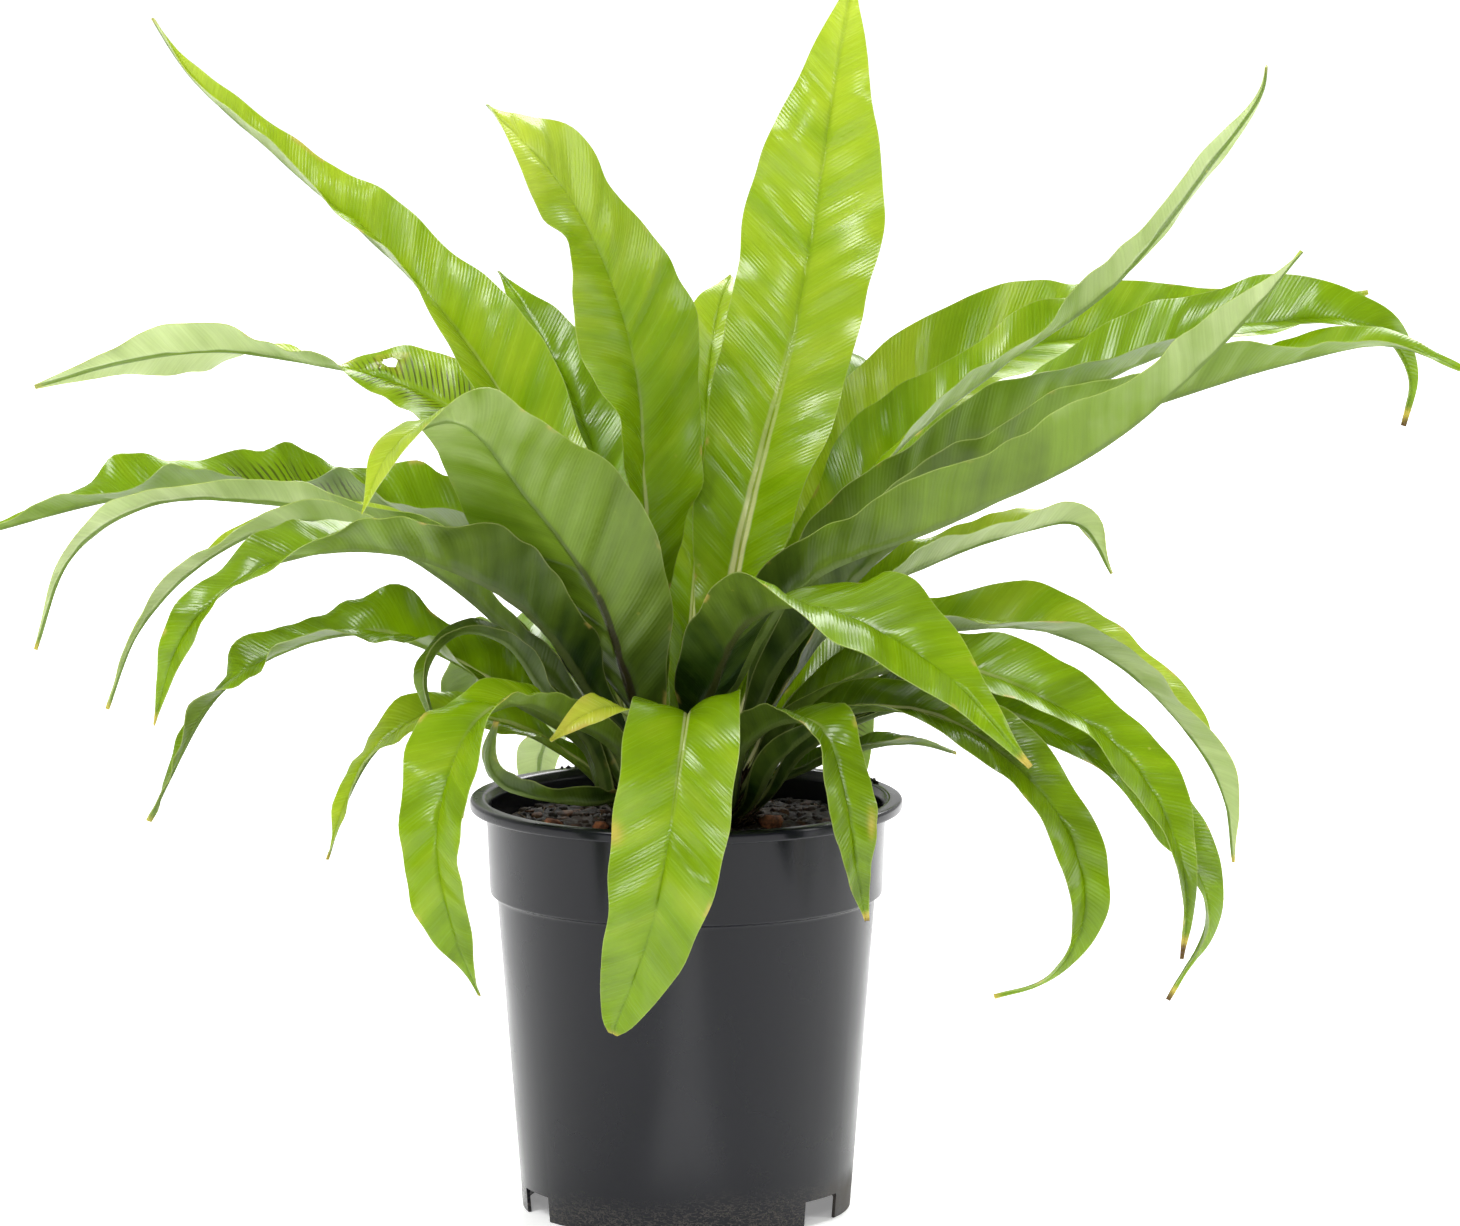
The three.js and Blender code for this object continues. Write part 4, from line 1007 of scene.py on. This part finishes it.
def pot_cutters():
    """Solids that cut the drain notches and the drain holes."""
    cutters = []
    for az in NOTCH_AZIMUTHS:
        a = math.radians(az)
        out, side = np.array([math.cos(a), math.sin(a)]), np.array([-math.sin(a), math.cos(a)])
        near, far = FOOT_RADIUS - NOTCH_DEEP / 2, FOOT_RADIUS + NOTCH_DEEP / 2
        half = NOTCH_WIDTH / 2
        corners = ((near, -half), (far, -half), (far, half), (near, half))
        outline = [reach * out + shift * side for reach, shift in corners]
        cutters.append(prism("notch", outline, -NOTCH_HEIGHT, NOTCH_HEIGHT))
    for i in range(DRAIN_HOLES):
        a = 2 * math.pi * i / DRAIN_HOLES
        ring = full_turn(DRAIN_SIDES)
        centre = DRAIN_CIRCLE * np.array([math.cos(a), math.sin(a)])
        outline = [centre + DRAIN_RADIUS * np.array([math.cos(t), math.sin(t)]) for t in ring]
        cutters.append(prism("hole", outline, FLOOR_HEIGHT - 2 * WALL, FLOOR_HEIGHT + WALL))
    return cutters


def make_pot(material):
    """The pot, turned from its section, with its notches and holes cut."""
    points, faces = lathe(pot_profile(), POT_SIDES)
    piece = mesh_piece("pot_shell", points, faces)
    cut(piece, pot_cutters())
    piece.data.polygons.foreach_set("use_smooth", np.ones(len(piece.data.polygons), bool))
    piece.data.set_sharp_from_angle(angle=math.radians(40))
    return finish_piece(piece, "pot", material, "pot")


def soil_height(r, a):
    """The soil's surface: a low mound with a lumpy texture made of a few crossing waves."""
    lumps = np.sin(7 * a + r * 0.21) * np.cos(r * 0.29 - 3 * a) + 0.6 * np.sin(13 * a - r * 0.4)
    return SOIL_EDGE + SOIL_MOUND * (1 - (r / SOIL_RADIUS) ** 2) + 0.9 * lumps * np.minimum(1, r / 20)


def rough_height(r, a):
    """The same surface with small crumbs."""
    x, y = r * np.cos(a), r * np.sin(a)
    crumbs = np.sin(1.9 * x + 2.1 * np.sin(1.3 * y)) * np.sin(2.3 * y + 1.7 * np.sin(1.1 * x))
    grains = np.sin(4.7 * x + 2 * np.sin(3.1 * y + x)) * np.sin(5.3 * y - 1.5 * np.sin(2.9 * x))
    return soil_height(r, a) + 0.45 * crumbs + 0.22 * grains


def make_soil(material):
    """The plug of potting mix, closed below, with a rough top."""
    a = full_turn(SOIL_SIDES)
    low = FLOOR_HEIGHT + SOIL_GAP
    grid = [(wall_radius(z) - SOIL_CLEAR, np.full(SOIL_SIDES, z)) for z in (low, LEDGE_HEIGHT)]
    for r in np.linspace(SOIL_RADIUS, SOIL_RADIUS / SOIL_RINGS, SOIL_RINGS):
        grid.append((r, rough_height(r, a)))
    points = [(r * math.cos(t), r * math.sin(t), z) for r, heights in grid for t, z in zip(a, heights)]
    points += [(0, 0, low), (0, 0, float(rough_height(np.array(0.0), np.array(0.0))))]
    faces = turned_faces(len(grid), SOIL_SIDES)
    return finish_piece(mesh_piece("soil_plug", points, faces), "soil", material, "soil")


def unit_ball():
    """Points and faces of a subdivided icosahedron."""
    ball = bmesh.new()
    bmesh.ops.create_icosphere(ball, subdivisions=2, radius=1)
    points = np.array([v.co[:] for v in ball.verts])
    faces = [[v.index for v in f.verts] for f in ball.faces]
    ball.free()
    return points, faces


BALL = unit_ball()


def lump(centre, size, rng, turn=None):
    """A rough closed lump: a ball with its corners pushed in and out."""
    points, faces = BALL
    blocky = np.sign(points) * np.abs(points) ** 0.7
    wild = 1 + 0.16 * np.sin(3 * points @ rng.normal(size=3) + rng.uniform(0, 6))[:, None]
    wild = wild + 0.1 * rng.normal(size=(len(points), 1))
    shaped = blocky * wild * np.array(size)
    spin = turn if turn is not None else rng.uniform(0, 2 * math.pi)
    tilt = rng.uniform(-0.5, 0.5)
    c, s, ct, st = math.cos(spin), math.sin(spin), math.cos(tilt), math.sin(tilt)
    about_x = np.array([[1, 0, 0], [0, ct, -st], [0, st, ct]])
    about_z = np.array([[c, -s, 0], [s, c, 0], [0, 0, 1]])
    return shaped @ (about_z @ about_x).T + np.array(centre), faces


def joined(parts):
    """Many closed bodies as one list of points and one of faces."""
    points, faces, start = [], [], 0
    for body, sides in parts:
        points.append(body)
        faces += [[start + i for i in side] for side in sides]
        start += len(body)
    return np.vstack(points), faces


def scattered(rng, count, inner, outer):
    """Places on the soil, evenly spread over its area."""
    for _ in range(count):
        r = math.sqrt(rng.uniform(inner**2, outer**2))
        a = rng.uniform(0, 2 * math.pi)
        yield r * math.cos(a), r * math.sin(a), float(soil_height(np.array(r), np.array(a)))


def make_crumbs(material):
    """Crumbs of soil all over the top, and a few on the rim."""
    rng = np.random.default_rng(5)
    parts = []
    for at in scattered(rng, CRUMBS, 22, SOIL_RADIUS - 2.5):
        size = rng.uniform(0.6, 2.1) * np.array([1, rng.uniform(0.6, 1), rng.uniform(0.5, 0.8)])
        parts.append(lump(at, size, rng))
    for az, count in RIM_CRUMBS:
        for _ in range(count):
            a = math.radians(az + rng.uniform(-2, 2))
            r = rng.uniform(RIM_INNER_RADIUS + 1.6, RIM_RADIUS - 1.6)
            size = rng.uniform(0.4, 1.1) * np.array([1, 0.8, 0.7])
            at = (r * math.cos(a), r * math.sin(a), POT_HEIGHT + 0.4 * size[0])
            parts.append(lump(at, size, rng))
    return finish_piece(mesh_piece("soil_crumbs", *joined(parts)), "soil", material)


def make_bark(material):
    """Flat bits of old bark on the soil."""
    rng = np.random.default_rng(8)
    parts = []
    for at in scattered(rng, BARK_BITS, 26, SOIL_RADIUS - 6):
        size = rng.uniform(1.8, 4.2) * np.array([1, rng.uniform(0.5, 0.8), rng.uniform(0.3, 0.5)])
        parts.append(lump(at, size, rng))
    return finish_piece(mesh_piece("bark_bits", *joined(parts)), "bark", material)


def make_chip(index, material):
    """One loose chip of bark, inside the box of its solid."""
    rng = np.random.default_rng(20 + index)
    low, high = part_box(f"bark_chip_{index}")
    centre, size = (low + high) / 2 / MM, (high - low) / 2 / MM * 0.86
    points, faces = lump(centre, size, rng, turn=0.0)
    return finish_piece(mesh_piece(f"chip_{index}", points, faces), "bark", material, f"bark_chip_{index}")


def tube(line, radii, sides=6):
    """A closed tube through points, with a radius at each."""
    line = np.array(line, float)
    way = unit(np.gradient(line, axis=0))
    side = unit(np.cross(way, [0.3, 0.2, 1]))
    over = np.cross(way, side)
    turn = full_turn(sides)
    ring = side[:, None] * np.cos(turn)[None, :, None] + over[:, None] * np.sin(turn)[None, :, None]
    points = (line[:, None] + ring * np.array(radii)[:, None, None]).reshape(-1, 3)
    faces = []
    for j in range(len(line) - 1):
        for i in range(sides):
            k = (i + 1) % sides
            faces.append([j * sides + i, j * sides + k, (j + 1) * sides + k, (j + 1) * sides + i])
    faces.append(list(range(sides))[::-1])
    faces.append([(len(line) - 1) * sides + i for i in range(sides)])
    return points, faces


def make_rootlets(material):
    """Thin roots and fibres that lie on the soil."""
    rng = np.random.default_rng(3)
    parts = []
    for at in scattered(rng, ROOTLETS, 24, SOIL_RADIUS - 8):
        heading = rng.uniform(0, 2 * math.pi)
        line = [np.array(at) + [0, 0, -0.3]]
        for _ in range(rng.integers(5, 11)):
            heading += rng.normal() * 0.5
            step = np.array([math.cos(heading), math.sin(heading), 0]) * 1.8
            spot = line[-1] + step
            reach = math.hypot(spot[0], spot[1])
            if reach > SOIL_RADIUS - 2:
                break
            ground = soil_height(np.array(reach), np.array(math.atan2(spot[1], spot[0])))
            spot[2] = ground + rng.uniform(0.1, 0.9)
            line.append(spot)
        if len(line) > 2:
            parts.append(tube(line, np.linspace(0.28, 0.1, len(line)) * rng.uniform(0.6, 1.2), 5))
    return finish_piece(mesh_piece("rootlets", *joined(parts)), "soil", material)


def make_crown(material):
    """The rhizome's top: a ball covered with narrow overlapping scales."""
    rng = np.random.default_rng(13)
    points, faces = lathe(crown_profile(), 48)
    parts = [(np.array(points), [list(f) for f in faces])]
    for _ in range(CROWN_SCALES):
        polar = math.radians(rng.uniform(8, 100))
        az = rng.uniform(0, 2 * math.pi)
        way = pointing(polar, az)
        base = way * np.array([CROWN_RADIUS, CROWN_RADIUS, CROWN_RISE]) * 0.97 + CROWN_CENTRE
        lean = unit(way + np.array([0, 0, 0.9]) + rng.normal(size=3) * 0.25)
        long = rng.uniform(5, 10)
        line = [base - way, base + lean * long * 0.45 + way * 0.5, base + lean * long]
        parts.append(tube(line, [0.75, 0.6, 0.08], 4))
    return finish_piece(mesh_piece("crown_scales", *joined(parts)), "crown", material, "crown")


def crown_profile():
    """The section of the ball beneath the scales."""
    turns = np.linspace(-math.pi / 2, math.pi / 2, 21)
    rise = CROWN_RISE - 1.5
    return [((CROWN_RADIUS - 1.5) * math.cos(t), CROWN_CENTRE[2] + rise * math.sin(t)) for t in turns]


def make_floor():
    """A pale square floor."""
    half = FLOOR_HALF
    mesh = bpy.data.meshes.new("floor")
    corners = [(-half, -half, 0), (half, -half, 0), (half, half, 0), (-half, half, 0)]
    mesh.from_pydata(corners, [], [(0, 1, 2, 3)])
    floor = bpy.data.objects.new("floor", mesh)
    link(floor)
    mesh.materials.append(floor_material())


def make_camera():
    """The photograph's view: from the front, a little above, from far away."""
    data = bpy.data.cameras.new("camera")
    data.lens = CAMERA_LENS
    data.sensor_width = 36
    data.clip_end = 100
    camera = bpy.data.objects.new("camera", data)
    down = math.radians(CAMERA_DOWN)
    look = Vector((0, math.cos(down), -math.sin(down)))
    camera.location = Vector(CAMERA_AIM) * MM - look * CAMERA_AWAY * MM
    camera.rotation_mode = "QUATERNION"
    camera.rotation_quaternion = look.to_track_quat("-Z", "Y")
    link(camera)
    bpy.context.scene.camera = camera


def add_light(name, at, aim, size, power):
    """A rectangular lamp at a place, turned to its aim."""
    data = bpy.data.lights.new(name, "AREA")
    data.shape = "RECTANGLE"
    data.size, data.size_y = size
    data.energy = power
    light = bpy.data.objects.new(name, data)
    light.location = at
    light.rotation_mode = "QUATERNION"
    light.rotation_quaternion = (Vector(aim) - Vector(at)).to_track_quat("-Z", "Y")
    link(light)


def make_world():
    """A white room that is brighter behind the plant than in front of it."""
    world = bpy.data.worlds.new("studio")
    world.use_nodes = True
    tree = world.node_tree
    place = tree.nodes.new("ShaderNodeTexCoord")
    split = tree.nodes.new("ShaderNodeSeparateXYZ")
    spread = tree.nodes.new("ShaderNodeMapRange")
    spread.interpolation_type = "SMOOTHSTEP"
    for key, value in zip(("From Min", "From Max", "To Min", "To Max"), (*ROOM_DEPTH, *ROOM_LIGHT)):
        spread.inputs[key].default_value = value
    tree.links.new(place.outputs["Generated"], split.inputs[0])
    tree.links.new(split.outputs["Y"], spread.inputs["Value"])
    tree.links.new(spread.outputs[0], tree.nodes["Background"].inputs["Strength"])
    tree.nodes["Background"].inputs["Color"].default_value = (1, 1, 1, 1)
    bpy.context.scene.world = world
    bpy.context.scene.view_settings.view_transform = "Standard"


make_camera()
make_world()
make_floor()
for lamp in LAMPS:
    add_light(*lamp)

make_pot(pot_material())
soil_look = soil_material()
make_soil(soil_look)
make_crumbs(soil_look)
make_rootlets(bark_material("root_fibre", (0.03, 0.016, 0.008), (0.16, 0.1, 0.055), 600.0))
bark_look = bark_material("bark", (0.05, 0.018, 0.008), (0.33, 0.12, 0.05), 260.0)
make_bark(bark_material("old_bark", (0.015, 0.008, 0.005), (0.1, 0.045, 0.022), 260.0))
for number in (1, 2, 3):
    make_chip(number, bark_look)
make_crown(bark_material("crown_scale", (0.012, 0.007, 0.004), (0.09, 0.05, 0.022), 500.0))
frond_look = frond_material()
for row in FRONDS:
    make_frond(row, frond_look)
